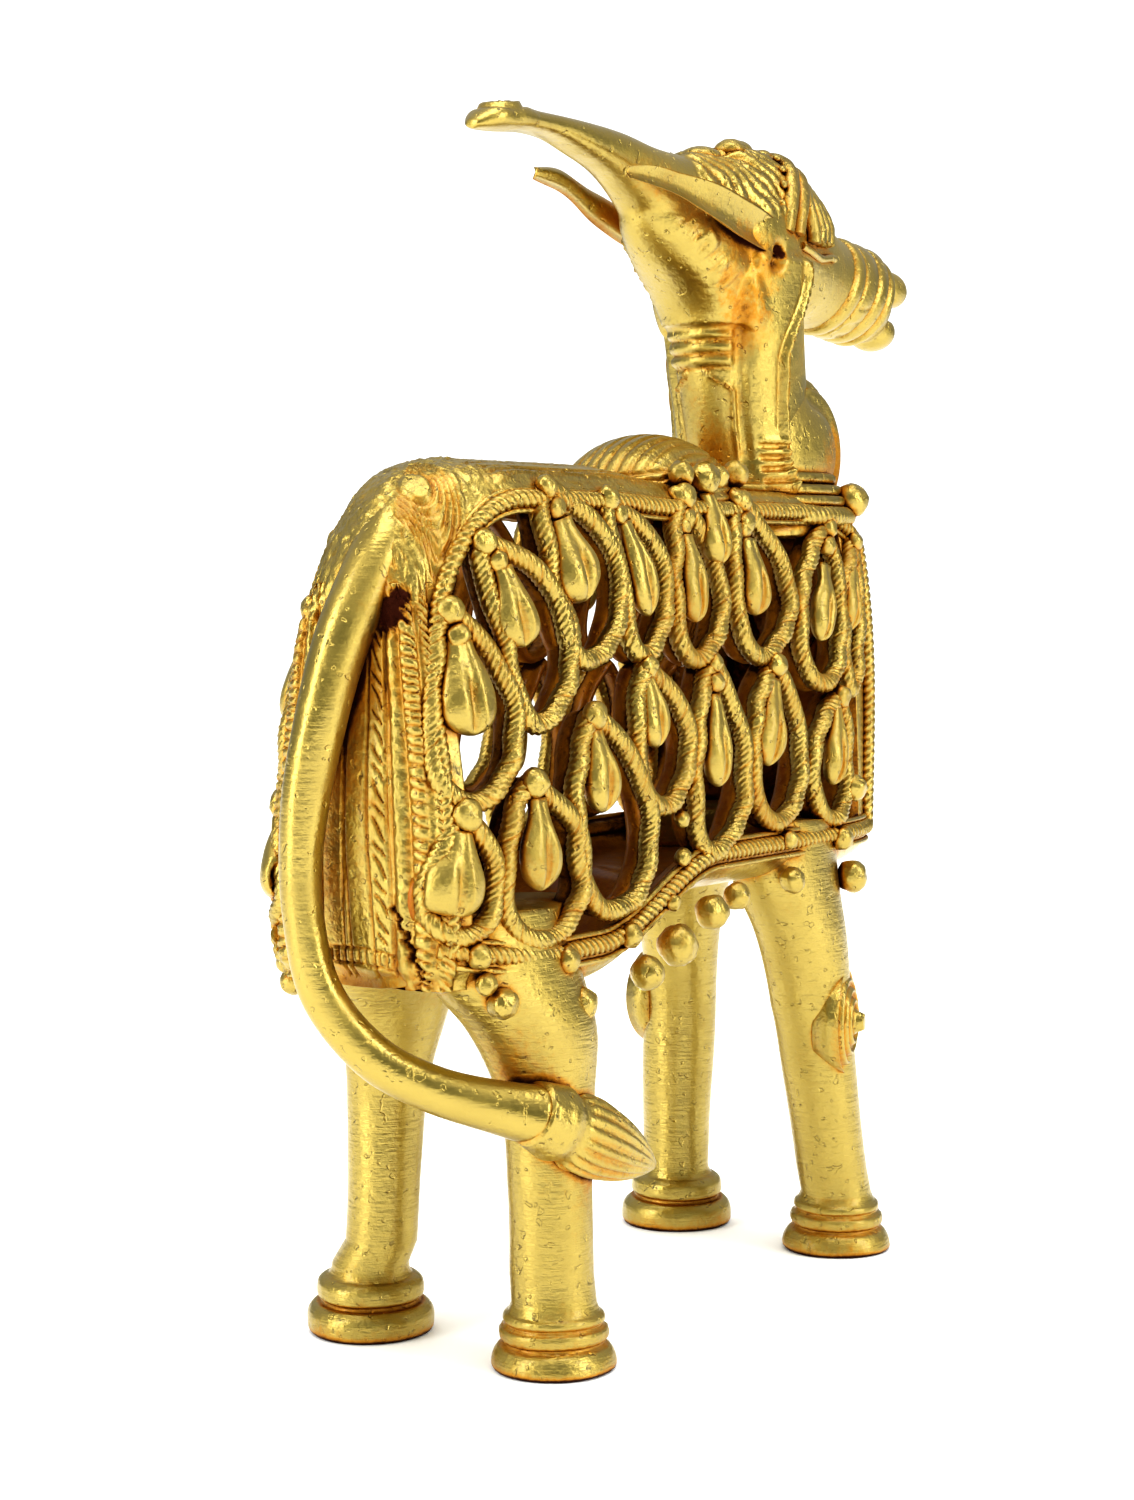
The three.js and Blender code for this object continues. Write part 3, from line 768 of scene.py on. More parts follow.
LOOPS = [
    loop((-12.8, 141.2), (-3.7, 111.1), 16.5, 5.2, (-9.4, 136.6), (-7.6, 123.6), 7.6, (2.3, 1.9)),
    loop((3.5, 150.5), (12.7, 121.3), 20.5, 4.2, (6.3, 144.6), (9.2, 130.8), 10.3, (2.1, 2.0)),
    loop((22.0, 149.0), (28.4, 121.6), 14.6, 5.0, (26.6, 144.6), (30.0, 128.4), 6.9, (2.2, 1.8)),
    loop((47.4, 149.9), (45.3, 120.4), 15.8, 2.4, (46.4, 142.2), (45.2, 127.1), 6.9, (2.3, 2.0)),
    loop((67.5, 149.4), (69.0, 120.3), 20.0, 3.4, (68.2, 141.8), (67.2, 127.8), 7.5, (2.2, 2.1)),
    loop((99.1, 144.6), (88.7, 114.5), 16.0, 0.0, (95.9, 136.8), (90.2, 122.5), 6.5, (2.0, 2.0)),
    loop((111.1, 142.1), (102.2, 112.6), 7.0, -0.5, (108.0, 138.4), (103.4, 124.2), 5.2, (1.9,)),
    loop((-20.9, 129.8), (-21.6, 98.5), 16.0, 2.8, (-20.1, 124.2), (-20.5, 109.2), 9.3, (2.4, 2.2)),
    loop((9.0, 111.6), (17.1, 77.5), 23.0, 0.9, (9.3, 109.0), (10.4, 94.8), 8.0, (2.4,)),
    loop((27.3, 119.3), (31.3, 94.4), 17.0, 2.2, (27.0, 117.0), (28.4, 104.8), 6.9, (1.9,)),
    loop((49.6, 119.3), (47.6, 84.9), 17.8, 2.3, (49.0, 113.2), (48.3, 96.8), 6.9, (1.8, 2.0)),
    loop((71.9, 118.4), (69.9, 88.6), 18.0, 0.9, (70.4, 115.0), (66.4, 99.4), 7.6, (2.4,)),
    loop((96.4, 111.4), (91.3, 87.4), 13.6, -1.7, (94.4, 109.2), (91.6, 94.3), 6.4, (2.1,)),
    loop((-23.1, 96.5), (-24.5, 76.6), 10.9, 0.9, (-24.3, 93.6), (-25.6, 80.0), 7.9, (2.7,)),
    loop((-8.6, 101.1), (-6.3, 74.5), 21.0, 2.0, (-7.9, 98.0), (-8.2, 83.0), 8.0, (2.5,)),
]
ROPE_RADIUS = 1.55


def loop_line(one, count):
    """The loop on the flat: rows of x and z, from the bead down one side and up the other."""
    top, foot = np.array(one["bead"]), np.array(one["foot"])
    run = foot - top
    across = unit(np.array([-run[1], run[0]]))
    turn = 2 * np.pi * (np.arange(count) + 0.5) / count
    share = np.sin(turn / 2) ** 2
    opening = share**0.8 * np.sqrt(np.maximum(1 - share, 0)) / 0.4195
    off = 0.5 * one["wide"] * opening * np.sign(np.sin(turn)) + one["bow"] * np.sin(np.pi * share)
    return top + share[:, None] * run + off[:, None] * across


def loop_ropes(side):
    lines = [flank_line(side, loop_line(one, 90), 0.5) for one in LOOPS]
    return [(wobble(line, 0.24, 2.4), True) for line in lines]


# Across the rope and outwards.
RIBBON = [
    (-1.2, 0.2), (0, 0.5), (1.2, 0.2), (1.1, -3.2), (0.5, -4.3), (-0.5, -4.3), (-1.1, -3.2),
]


def ribbon(side, one):
    """The wall behind one rope, a rounded strip that runs inwards."""
    flat = loop_line(one, 84)
    ahead = unit(np.roll(flat, -1, axis=0) - np.roll(flat, 1, axis=0))
    across = np.stack([-ahead[:, 1], ahead[:, 0]], axis=-1)
    rings = [flank_line(side, flat + across * s, out) for s, out in RIBBON]
    return skin(wobble(np.stack(rings, axis=1), 0.18, 4.0), loop=True)


THREAD = {"lead": 8.6, "strands": 7.0, "depth": 0.24}
ropes("right_ropes", loop_ropes(RIGHT), ROPE_RADIUS, step=0.46, corners=24, **THREAD)
ropes("left_ropes", loop_ropes(LEFT), ROPE_RADIUS, step=0.65, corners=21, **THREAD)
# The ribbons take the darker inner brass too: patina with painted shade.
for word, side in SIDES.items():
    piece(word + "_ribbons", [ribbon(side, one) for one in LOOPS], INNER_SHADED_BRASS)


# %% [markdown]
# ## Leaf drops
#
# In each loop hangs a drop like a fat leaf bud: narrow under its bead, widest low down and round
# at the foot. A slit opens from its middle downwards, with a fine keel in it, and the two cheeks
# beside the slit were rubbed almost flat. It is a row of ovals whose front is pressed in.

# %% Drops
DROP_RING, DROP_ROWS, DROP_FOOT_ROWS = 44, 18, 8


def leaf_drop(side, one):
    top, tip = np.array(one["top"]), np.array(one["tip"])
    run = tip - top
    across = unit(np.array([-run[1], run[0]]))
    half = one["fat"] * 0.53
    foot_rows = 1 - 0.2 * np.linspace(0.9, 0.04, DROP_FOOT_ROWS) ** 2
    t = np.concatenate([np.linspace(-0.04, 0.8, DROP_ROWS), foot_rows])
    swell = 0.50 + 0.50 * ease(t / 0.64)
    close = np.maximum(1 - clamp((t - 0.68) / 0.322) ** 2.4, 0) ** 0.62
    wide = half * swell * close
    s, c = np.sin(circle(DROP_RING)), np.cos(circle(DROP_RING))
    front = np.maximum(c, 0) ** 0.5
    rings = []
    for ti, w in zip(t, wide):
        low = float(ease((ti - 0.30) / 0.25)) * float(ease((1.0 - ti) / 0.12))
        slit = low * (0.80 * ridge(s, 0, 0.11) - 0.40 * ridge(s, 0, 0.04))
        flat = 0.20 * (c > 0) * (1 - np.abs(s)) * np.abs(np.cos(3 * np.arcsin(s * 0.999))) ** 0.5
        keel = 0.10 * ridge(s, 0.28, 0.10)
        out = 0.66 * w * (c - front * (slit + flat - keel)) + 1.2 + 0.5 * np.sin(np.pi * clamp(ti))
        x = top[0] + run[0] * ti + across[0] * w * s
        z = top[1] + run[1] * ti + across[1] * w * s
        rings.append(on_side(side, x, z, out))
    return skin(wobble(np.array(rings), 0.16, 2.6))


PENDANT = loop((55.9, 153.4), (56.2, 130.0), 8.0, 0, (56.0, 150.2), (56.2, 137.6), 7.4, (3.0,))
DROPS = LOOPS + [PENDANT]
for word, side in SIDES.items():
    piece(word + "_drops", [leaf_drop(side, one) for one in DROPS], DROP_BRASS)


# %% [markdown]
# ## Beads
#
# Every drop hangs from one or two beads, and more beads sit on the hem and hang under it. They
# are wax balls pressed on by hand, never quite round. Geometry Nodes put a ball on each marked
# point, at the size stored with the point, and push its surface about a little.

# %% The bead tree
def bead_tree():
    net = Growth("pressed beads", Around="Int", Uneven="Float")
    size, turned = [
        net.add("GeometryNodeInputNamedAttribute", {"Name": name}, data_type="FLOAT_VECTOR")
        for name in ("size", "facing")
    ]
    tilt = net.add("FunctionNodeAlignEulerToVector", {"Vector": turned}, axis="Z")
    around = net.given("Around")
    ball_size = {"Segments": around, "Rings": around, "Radius": 1.0}
    ball = net.add("GeometryNodeMeshUVSphere", ball_size)
    marks = {"Points": net.given("Geometry"), "Instance": ball, "Rotation": tilt, "Scale": size}
    strewn = net.add("GeometryNodeInstanceOnPoints", marks)
    real = net.add("GeometryNodeRealizeInstances", {"Geometry": strewn})
    push = net.add("ShaderNodeTexNoise", {"Scale": 420.0, "Detail": 1.0}, "Color")
    middle = net.vector("SUBTRACT", {0: push, 1: (0.5,) * 3})
    offset = net.vector("SCALE", {0: middle, "Scale": net.given("Uneven")})
    uneven = net.add("GeometryNodeSetPosition", {"Geometry": real, "Offset": offset})
    return net.close(uneven)


BEAD_TREE = bead_tree()


def beads(name, marks, around=14, uneven=1.1):
    """marks: rows of place, outward direction, radius across and radius outwards."""
    mesh = bpy.data.meshes.new(name + " marks")
    mesh.from_pydata([tuple(metres(at)) for at, *_ in marks], [], [])
    stored = {
        "facing": [unit(facing) for _, facing, *_ in marks],
        "size": [(r * MM, r * MM, out * MM) for _, _, r, out in marks],
    }
    for key, rows in stored.items():
        kept = mesh.attributes.new(key, "FLOAT_VECTOR", "POINT")
        kept.data.foreach_set("vector", np.array(rows, float).ravel())
    given = {"Around": around, "Uneven": uneven * MM}
    grown(name, placed(name + " marks", mesh), BEAD_TREE, given, WORKED_BRASS)


# %% Where the beads go
# Each row says where along X, how high, and the radius.
HEM_BEADS = [
    (-21.9, 73.3, 2.2), (-1.4, 70.6, 2.5), (18.0, 72.6, 2.3), (31.7, 77.1, 1.6), (73.1, 84.9, 1.9),
    (94.0, 83.6, 2.4), (-20.6, 68.6, 1.9),
]
HANGING = [
    (-17.3, 65.1, 2.7), (2.7, 62.5, 2.9), (23.3, 65.4, 3.2), (33.1, 69.2, 3.9), (44.7, 74.0, 3.3),
    (53.5, 76.0, 2.7), (74.3, 77.1, 2.6), (98.0, 75.6, 3.3), (99.6, 93.2, 2.6),
]
NECK_CLUSTER = [
    (48.9, 154.2, 2.6), (68.3, 154.7, 2.8), (66.5, 149.9, 2.3), (46.3, 149.9, 2.2),
    (45.9, 144.5, 1.9), (67.1, 144.2, 2.0), (61.6, 154.0, 2.3), (36.4, 91.6, 1.5),
    (36.5, 84.7, 1.8),
]


def flank_mark(side, x, z, r, out, deep):
    x, z = float(x), float(z)
    return (on_side(side, x, z, out), side_normal(side, np.array(x), np.array(z)), r, deep)


def flank_beads(side):
    marks = []
    for one in DROPS:
        place = np.array(one["bead"])
        run = unit(np.array(one["top"]) - place)
        reach = 0.0
        for i, r in enumerate(one["beads"]):
            reach += 0.0 if i == 0 else (one["beads"][i - 1] + r) * 0.93
            x, z = place + run * reach
            marks.append(flank_mark(side, x, z, r * 1.08, 1.7 - 0.2 * i, r * 0.86))
    for row, out, deep in ((HEM_BEADS, 1.7, 0.9), (HANGING, 1.9, 0.95), (NECK_CLUSTER, 0.9, 0.95)):
        marks += [flank_mark(side, x, z, r, out, r * deep) for x, z, r in row]
    marks.append(((112.6, side * 15.6, 150.8), (0.7, side * 0.7, 0), 3.5, 3.5))
    return marks


beads("right_beads", flank_beads(RIGHT), around=16)
beads("left_beads", flank_beads(LEFT), around=12)


# %% [markdown]
# ## Coils and wires on the drum
#
# A coil edges the roof and turns both corners down to the hem; another runs along the hem. Fine
# wires keep them company. They are the same ropes, laid on lines that follow the drum.

# %% Edge lines
def corner_path(inset):
    """From the hem up the rump corner, along the roof edge and down the chest corner."""
    low = [(BODY_REAR + 2.0 + inset, z) for z in np.linspace(hem_height(-26.0) + 1, 106, 24)]
    start, run = BODY_REAR + 2.2 + inset, BODY_FRONT - BODY_REAR - 5 - inset
    xs = start + run * np.linspace(0, 1, 200) ** 1.6
    over = [(x, border_height(x) - 1.2 - inset) for x in xs]
    front = [(BODY_FRONT - 2.8, z) for z in np.linspace(over[-1][1] - 2, hem_height(112) + 1, 24)]
    return flow(low + over + front, 260, 2)


def hem_path(drop):
    """Along the hem, a little over it."""
    xs = np.linspace(BODY_REAR + 0.8, BODY_FRONT - 1.0, 160)
    return np.stack([xs, hem_height(xs) + drop], axis=-1)


# Each row is a line and how far out it lies.
COIL_LINES = [(corner_path(0.6), 0.7), (hem_path(1.2), 0.6)]
WIRE_LINES = [
    (hem_path(3.2), 0.3), (hem_path(-1.4), 0.7), (corner_path(-1.1), 0.2), (corner_path(2.5), 0.2),
]
for word, side in SIDES.items():
    coils, wires = [
        [(flank_line(side, flat, out), False) for flat, out in rows]
        for rows in (COIL_LINES, WIRE_LINES)
    ]
    ropes(word + "_edge_coils", coils, 1.30, 4.8, depth=0.26)
    ropes(word + "_edge_wires", wires, 0.55, 3.0, strands=2.0, depth=0.12, step=0.6, corners=6)


# %% [markdown]
# ## The legs
#
# Four straight shafts widen upwards into the drum and end in ringed feet. The shafts were filed
# round, so their section stays an oval; the rings of a foot bulge and have a dark groove between.

# %% Legs and feet
# A foot's rows: height over the sole and radius. A leg's rows: height, shift forward, shift
# inward, and the radii along and across the bull.
SOLE = -0.8
FOOT_ROWS = [
    (0.0, 10.5), (0.5, 11.1), (2.2, 11.4), (4.2, 11.1), (5.4, 9.9), (5.7, 8.9), (6.1, 8.8),
    (6.6, 9.4), (8.0, 9.6), (9.4, 9.3), (10.1, 8.4), (10.4, 7.6), (11.3, 7.1), (12.5, 6.9),
]
FOOT_TICKED = [
    (0.0, 9.9), (0.6, 10.6), (2.4, 10.5), (4.0, 9.6), (4.7, 8.7), (5.0, 8.5), (5.4, 9.0),
    (6.4, 9.3), (7.4, 9.1), (7.8, 8.5), (8.2, 8.2), (8.8, 8.6), (9.6, 8.5), (10.3, 7.8),
    (11.6, 7.2),
]
HIND_ROWS = [
    (16.0, 0, 0.2, 6.75, 6.75), (30.0, -0.2, 0.4, 7.2, 7.0), (48.0, -0.6, 1.0, 8.4, 7.6),
    (59.0, -2.0, 3.0, 12.0, 9.4), (67.0, -5.0, 5.6, 15.6, 10.0), (80.0, -7.0, 7.0, 16.0, 9.0),
]
FORE_ROWS = [
    (16.0, 0, 0, 6.75, 6.75), (34.0, 0, 0.3, 7.0, 6.9), (50.0, 0, 0.8, 7.4, 7.0),
    (65.0, -2.0, 2.0, 9.8, 8.0), (76.0, -4.5, 4.0, 12.8, 8.8), (88.0, -6.0, 5.0, 14.0, 9.0),
]
LEG_AROUND, FOOT_TICKS = 56, 28


def leg(x, side, track, foot, rows, lean=0.0, tuck=0.0, stout=1.0):
    base = flow(foot, 64, 2)
    rings = [level_oval((x, side * track, z + SOLE), r, r, LEG_AROUND) for z, r in base]
    for z, shift, inward, long_r, wide_r in flow(rows, 70, 1):
        leant = shift + lean * float(clamp((z - 8) / 42))
        centre = (x + leant, side * (track - inward - tuck), z)
        rings.append(level_oval(centre, long_r * stout, wide_r * stout, LEG_AROUND))
    rings = np.array(rings)
    bent = wobble(rings, 0.22, 9.0)
    bent[:3, :, 2] = rings[:3, :, 2]
    if foot is FOOT_TICKED:
        tick = 1 - 0.022 * (np.cos(circle(LEG_AROUND) * FOOT_TICKS) > 0.3)
        for i in np.flatnonzero((base[:, 0] > 5.2) & (base[:, 0] < 7.7)):
            centre = bent[i].mean(axis=0)
            bent[i] = centre + (bent[i] - centre) * tick[:, None]
    return skin(bent)


WHEELBASE, REAR_HALF_TRACK, FRONT_HALF_TRACK = 101.3, 20.5, 19.4
piece(
    "legs",
    [
        leg(0, RIGHT, REAR_HALF_TRACK, FOOT_TICKED, HIND_ROWS, tuck=0.4, stout=1.07),
        leg(0.5, LEFT, REAR_HALF_TRACK, FOOT_ROWS, HIND_ROWS, lean=3.0, tuck=1.8, stout=0.97),
        leg(WHEELBASE, RIGHT, FRONT_HALF_TRACK, FOOT_TICKED, FORE_ROWS, lean=-9.5, stout=1.08),
        leg(WHEELBASE + 0.6, LEFT, FRONT_HALF_TRACK, FOOT_ROWS, FORE_ROWS, lean=0.2, stout=1.06),
    ],
    FILED_BRASS,
)


# %% [markdown]
# ## Tail and tuft
#
# The tail is a plain round rod that leaves the rump, hangs clear of the rear plate, swings to the
# right and lies on the hock. It ends in a collar and a tuft of ridges drawn to a point, nine on
# the side that shows.

# %% Tail
# Along the tail: place and radius.
TAIL = [
    (-9.0, -1.0, 149.5, 5.6), (-15.0, -1.4, 147.0, 5.5), (-21.0, -1.8, 142.5, 5.4),
    (-29.0, -1.2, 131.5, 5.0), (-34.4, 0.8, 117.0, 4.5), (-37.3, 3.4, 98.0, 3.9),
    (-37.0, 4.2, 80.0, 3.6), (-35.0, 1.4, 66.0, 3.6), (-30.0, -5.0, 56.0, 3.8),
    (-23.0, -12.0, 50.5, 4.0), (-15.5, -19.5, 47.0, 4.6), (-9.5, -25.0, 44.8, 5.4),
]
TUFT_TIP = np.array([15.5, -30.5, 33.0])


def round_rod(rows, count, around):
    """Rings round a path, turned as little as possible from one to the next."""
    smooth = flow(rows, count)
    path, radius = smooth[:, :3], smooth[:, 3][:, None, None]
    ahead = unit(np.gradient(path, axis=0))
    over = unit(np.cross(np.cross(ahead[0], (0, 0, 1)), ahead[0]))
    overs = []
    for a in ahead:
        over = unit(over - a * np.dot(over, a))
        overs.append(over)
    over, across = np.array(overs)[:, None], np.cross(ahead, overs)[:, None]
    turn = circle(around)[None, :, None]
    return path[:, None] + radius * (np.cos(turn) * over + np.sin(turn) * across)


# Along the tuft, then its two radii.
TUFT_ROWS = [
    (-0.10, 5.6, 5.2), (0.0, 6.2, 5.5), (0.12, 6.5, 5.7), (0.17, 5.9, 5.3), (0.20, 5.8, 5.2),
    (0.24, 6.5, 5.6), (0.36, 7.0, 5.8), (0.55, 6.4, 5.2), (0.75, 4.9, 3.9), (0.92, 2.6, 2.2),
    (1.0, 1.0, 1.0),
]
TUFT_RIDGES = 18


def tuft():
    start = np.array(TAIL[-1][:3])
    run = TUFT_TIP - start
    ahead = unit(run)
    across = unit(np.cross((0, 1, 0), ahead))
    other = np.cross(ahead, across)
    turn = circle(108)
    grooves = (0.5 + 0.5 * np.cos(turn * TUFT_RIDGES)) ** 1.5
    rings = []
    for share, high, wide in flow(TUFT_ROWS, 66, 1):
        deep = 0.10 * float(ease((share - 0.2) / 0.06)) * float(ease((1.02 - share) / 0.2))
        lobes = 1 - deep * grooves
        sideways = (high * lobes * np.cos(turn))[:, None] * across
        crossways = (wide * lobes * np.sin(turn))[:, None] * other
        rings.append(start + run * share + sideways + crossways)
    return skin(rings)


piece("tail", [skin(wobble(round_rod(TAIL, 120, 28), 0.2, 8.0))], SMOOTH_BRASS)
piece("tuft", [tuft()], WORKED_BRASS)


# %% [markdown]
# ## The foreleg discs
#
# A disc of raised rings with a knob sits on the outside of each foreleg. It is a turned shape, so
# its rings come from one profile spun about its own axis.

# %% Discs
DISC_WIDE, DISC_HIGH, DISC_DOME, DISC_KNOB, DISC_RINGS = 8.2, 10.4, 2.2, 1.9, 5


def ringed_disc(centre, facing):
    facing = unit(facing)
    across = unit(np.cross((0, 0, 1), facing))
    up = np.cross(facing, across)

    def ring(out, size):
        at = np.array(centre) + facing * out
        return oval(at, across, up, DISC_WIDE * size, DISC_HIGH * size, 72)

    rings = [ring(-5, 0.9)]
    for s in np.linspace(1, 0, 70):
        out = DISC_DOME * (1 - s**2) + 0.42 * np.cos(2 * np.pi * s * DISC_RINGS) * (s > 0.22)
        rings.append(ring(out + DISC_KNOB * float(ease((0.24 - s) / 0.10)), max(s, 0.004)))
    return skin(rings)


right_disc = ringed_disc((94.4, -25.0, 47.0), (0.3, -1, 0))
left_disc = ringed_disc((102.9, 25.0, 47.0), (0.3, 1, 0))
piece("foreleg_discs", [right_disc, left_disc], WORKED_BRASS)


# %% [markdown]
# ## Rump cloth, roof cloth and hump
#
# The rump is dressed like a cloth: upright cut lines, a strip of slanting ticks, a smooth ridge,
# a ladder of short rungs and a threaded band that goes round the corner to the net. On the roof a
# rosette of oval rings covers the root of the tail, and long scored lines run to the hump. Both
# cloths are grids laid on the body with one sum of ridges and cuts as their height. The hump is a
# dome with a zigzag band across it and leaf-shaped grooves below.

# %% Cloth grids
def cut(v, at, wide):
    """A sharp cut of depth 1."""
    return np.exp(-((np.abs(v - at) / wide) ** 3))


def strip(v, low, high, soft):
    """1 between low and high, with soft edges."""
    return ease((v - low) / soft) * ease((high - v) / soft)


def grid_normals(points, middle):
    """Normals of a grid that point away from a place in its middle."""
    outwards = points - np.array(middle)
    normals = unit(np.cross(np.gradient(points, axis=0), np.gradient(points, axis=1)))
    return normals * np.sign(np.sum(normals * outwards, axis=-1, keepdims=True))


GRAIN_ROWS, GRAIN_COLUMNS = 61, 67
GRAINS = np.random.default_rng(11).random((GRAIN_ROWS, GRAIN_COLUMNS)) * 2 - 1


def grit(a, b, size):
    """Uneven grains over two coordinates, within -1 and 1: one fixed table, blended softly."""
    a, b = np.broadcast_arrays(np.asarray(a, float) / size, np.asarray(b, float) / size)
    col, row = np.floor(a).astype(int), np.floor(b).astype(int)
    u, v = ease(a - col), ease(b - row)

    def blended(row):
        near, far = [GRAINS[row % GRAIN_ROWS, (col + k) % GRAIN_COLUMNS] for k in (0, 1)]
        return near * (1 - u) + far * u

    return blended(row) * (1 - v) + blended(row + 1) * v


CLOTH_DEPTH, BACK_EVERY = 2.4, 5


def cloth(points, normals, relief):
    """A closed shell: the raised front, and a coarser back laid under it."""
    front = points + normals * relief[..., None]
    back = (points - normals * CLOTH_DEPTH)[:, ::-1][:, ::BACK_EVERY]
    return skin(np.concatenate([front, back], axis=1))


# %% Rump cloth
RUMP_REACH = 21.0
RUMP_LOW, RUMP_HIGH = 67.6, 134.6
UPRIGHT_CUTS = (0.4, 4.7, 8.4)


def rump_grid(heights, shares):
    """Rows of points from one net round the rump to the other, evenly spread along each row."""
    rows = []
    for z in heights:
        edge = half_width(BODY_REAR + 0.02, z)
        flat = np.stack([np.full(40, BODY_REAR), np.linspace(0, edge, 40)], axis=-1)[:-1]
        x = BODY_REAR + (WINDOW_REAR + 0.8 - BODY_REAR) * np.linspace(0, 1, 60) ** 2
        half = np.concatenate([flat, np.stack([x, half_width(x, z)], axis=-1)])
        line = np.concatenate([half[::-1] * [1, -1], half[1:]])
        far = lengths(line)
        want = (shares + 1) / 2 * far[-1]
        x, y = [np.interp(want, far, line[:, k]) for k in (0, 1)]
        rows.append(np.stack([x, y, np.full_like(x, z)], axis=-1))
    return np.array(rows)


def rump_relief(across, z):
    """Height of the rump's carving, from the way across the rump and the height above ground."""
    u = np.abs(across)
    right = across < 0
    relief = 2.3 * ridge(z, 94, 24) * (1 - clamp(u / 12) ** 2) + 0.9
    # Rough skin, roughest over the root of the tail, where the cloth sinks into the roof.
    high = ease((z - 123) / 5)
    relief = relief - 0.5 * high - 1.3 * ease((z - 130) / 4.4) - 1.7 * ease((71.5 - z) / 3)
    rough = 0.25 + 0.75 * strip(u, 8.6, 12.4, 0.6)
    relief += (0.14 * rough + 0.28 * high) * grit(across, z, 0.7)
    relief += 0.15 * high * grit(across + 9, z, 1.6)
    # The plate: upright cuts and a row of slanting ticks.
    for at in UPRIGHT_CUTS:
        relief -= 0.55 * cut(u, at + 0.25 * np.sin(z / 9.0), 0.20)
    slant = np.mod(z + 1.45 * u + 0.5 * np.sin(z * 0.9), 3.1)
    relief -= 0.55 * strip(u, 5.5, 7.9, 0.3) * cut(slant, 1.5, 0.27) * (z > 75)
    # The smooth ridge, the ladder of rungs and the threaded band.
    relief += 0.6 * strip(u, 9.0, 12.0, 1.2) - 0.35 * cut(u, 8.9, 0.3)
    rungs = np.mod(z + 0.3 * u + ease((z - 105) / 20) * u * 0.5, 2.0) + 0.25 * np.sin(z * 1.1 + u)
    relief += strip(u, 12.2, 15.0, 0.6) * (0.60 - 0.60 * cut(rungs, 1.0, 0.30))
    threads = np.mod(z + 0.9 * u, 1.55)
    relief += strip(u, 15.4, 18.6, 0.9) * (0.9 - 0.5 * cut(threads, 0.78, 0.34))
    # Two lines at the foot of the plate, with ticks between them.
    foot = z + 0.012 * u**2
    relief -= 0.5 * (cut(foot, 74.2, 0.22) + cut(foot, 71.6, 0.22)) * (u < 8.8)
    relief -= 0.5 * strip(foot, 71.8, 74.0, 0.2) * cut(np.mod(u, 1.3), 0.65, 0.2) * (u < 8.6)
    # The crack at the lower right corner and the eaten hole by the tail.
    crack = 9.4 + (80 - z) * 0.42 + 0.45 * np.sin(z * 2.3) + 0.2 * np.sin(z * 6.1)
    relief -= 1.6 * right * strip(z, 68.5, 82, 1.5) * cut(u, crack, 0.45)
    hole = np.hypot((u - 7.9) / 1.7, (z - 130.2) / 3.8) + 0.16 * np.sin(z * 2.1 + u * 3)
    return relief - 1.6 * right * ease((1.15 - hole) / 0.4)


def rump_cloth():
    heights = np.linspace(RUMP_LOW, RUMP_HIGH, 184)
    shares = np.linspace(-1, 1, 157)
    points = rump_grid(heights, shares)
    relief = rump_relief(shares[None, :] * RUMP_REACH, heights[:, None])
    return cloth(points, grid_normals(points, (0.0, 0.0, 100.0)), relief)


piece("rump_cloth", [rump_cloth()], WORKED_BRASS)


# %% Roof cloth
ROSETTE = (-18.4, -5.0)
ROSETTE_RINGS = (1.0, 1.35, 1.68, 2.0, 2.32)
SCORED_LINES = (-11.2, -9.6, -6.6, -3.2, 0.2, 3.2, 6.6, 9.6, 11.2)


def roof_grid(xs, shares):
    """Rows of points from one border over the spine to the other, evenly spread."""
    rows = []
    for x in xs:
        half, _, high = drum_section(float(x))
        above = half[high:]
        run = lengths(above)
        place = run[-1] * (1 - np.abs(shares))
        y = np.sign(shares) * np.interp(place, run, above[:, 0])
        rows.append(np.stack([np.full_like(y, x), y, np.interp(place, run, above[:, 1])], axis=-1))
    return np.array(rows)


def roof_relief(p, x, y, centre):
    """Height of the roof's carving; p is the way along the spine, centre the rosette's p."""
    dx, dy = (p - centre) / 2.8, (y - ROSETTE[1]) / 3.5
    ring = np.hypot(dx, dy)
    rosette = ease((2.7 - ring) / 0.35) * ease((1.1 - dy + 0.3 * dx) / 0.5)
    plain = rosette + ease((x + 6) / 6) * (1 - rosette)
    relief = 0.4 + (0.24 - 0.14 * plain) * grit(p, y, 0.7) + 0.12 * (1 - plain) * grit(y, p, 1.7)
    relief += 0.35 * rosette
    for at in ROSETTE_RINGS:
        relief -= 0.55 * rosette * cut(ring, at, 0.10)
    relief += 0.30 * ease((0.9 - ring) / 0.15)
    lines = ease((x + 9) / 5)
    for at in SCORED_LINES:
        relief -= 0.5 * lines * cut(y, at + 0.5 * np.sin(x / 11 + at), 0.27)
    ticks = np.mod(x + 0.4 * np.abs(y), 0.95)
    return relief + lines * strip(np.abs(y), 11.6, 13.8, 0.5) * (0.5 - 0.4 * cut(ticks, 0.47, 0.2))


def roof_cloth():
    turn = np.linspace(0, np.pi / 2, 60)
    along = np.concatenate([-5 - 23.4 * np.cos(turn), np.linspace(-4.5, 110, 260)])
    far = lengths(np.stack([along, roof_height(along)], axis=-1))
    want = np.arange(0, far[-1], 0.46)
    points = roof_grid(np.interp(want, far, along), np.linspace(-1, 1, 111))
    centre = np.interp(ROSETTE[0], along, far)
    relief = roof_relief(want[:, None], points[..., 0], points[..., 1], centre)
    return cloth(points, grid_normals(points, (40.0, 0.0, 100.0)), relief)


piece("roof_cloth", [roof_cloth()], WORKED_BRASS)


# %% Hump
HUMP_CENTRE = (60.5, 0.0, 148.4)
HUMP_RADII = (19.5, 16.6, 14.2)


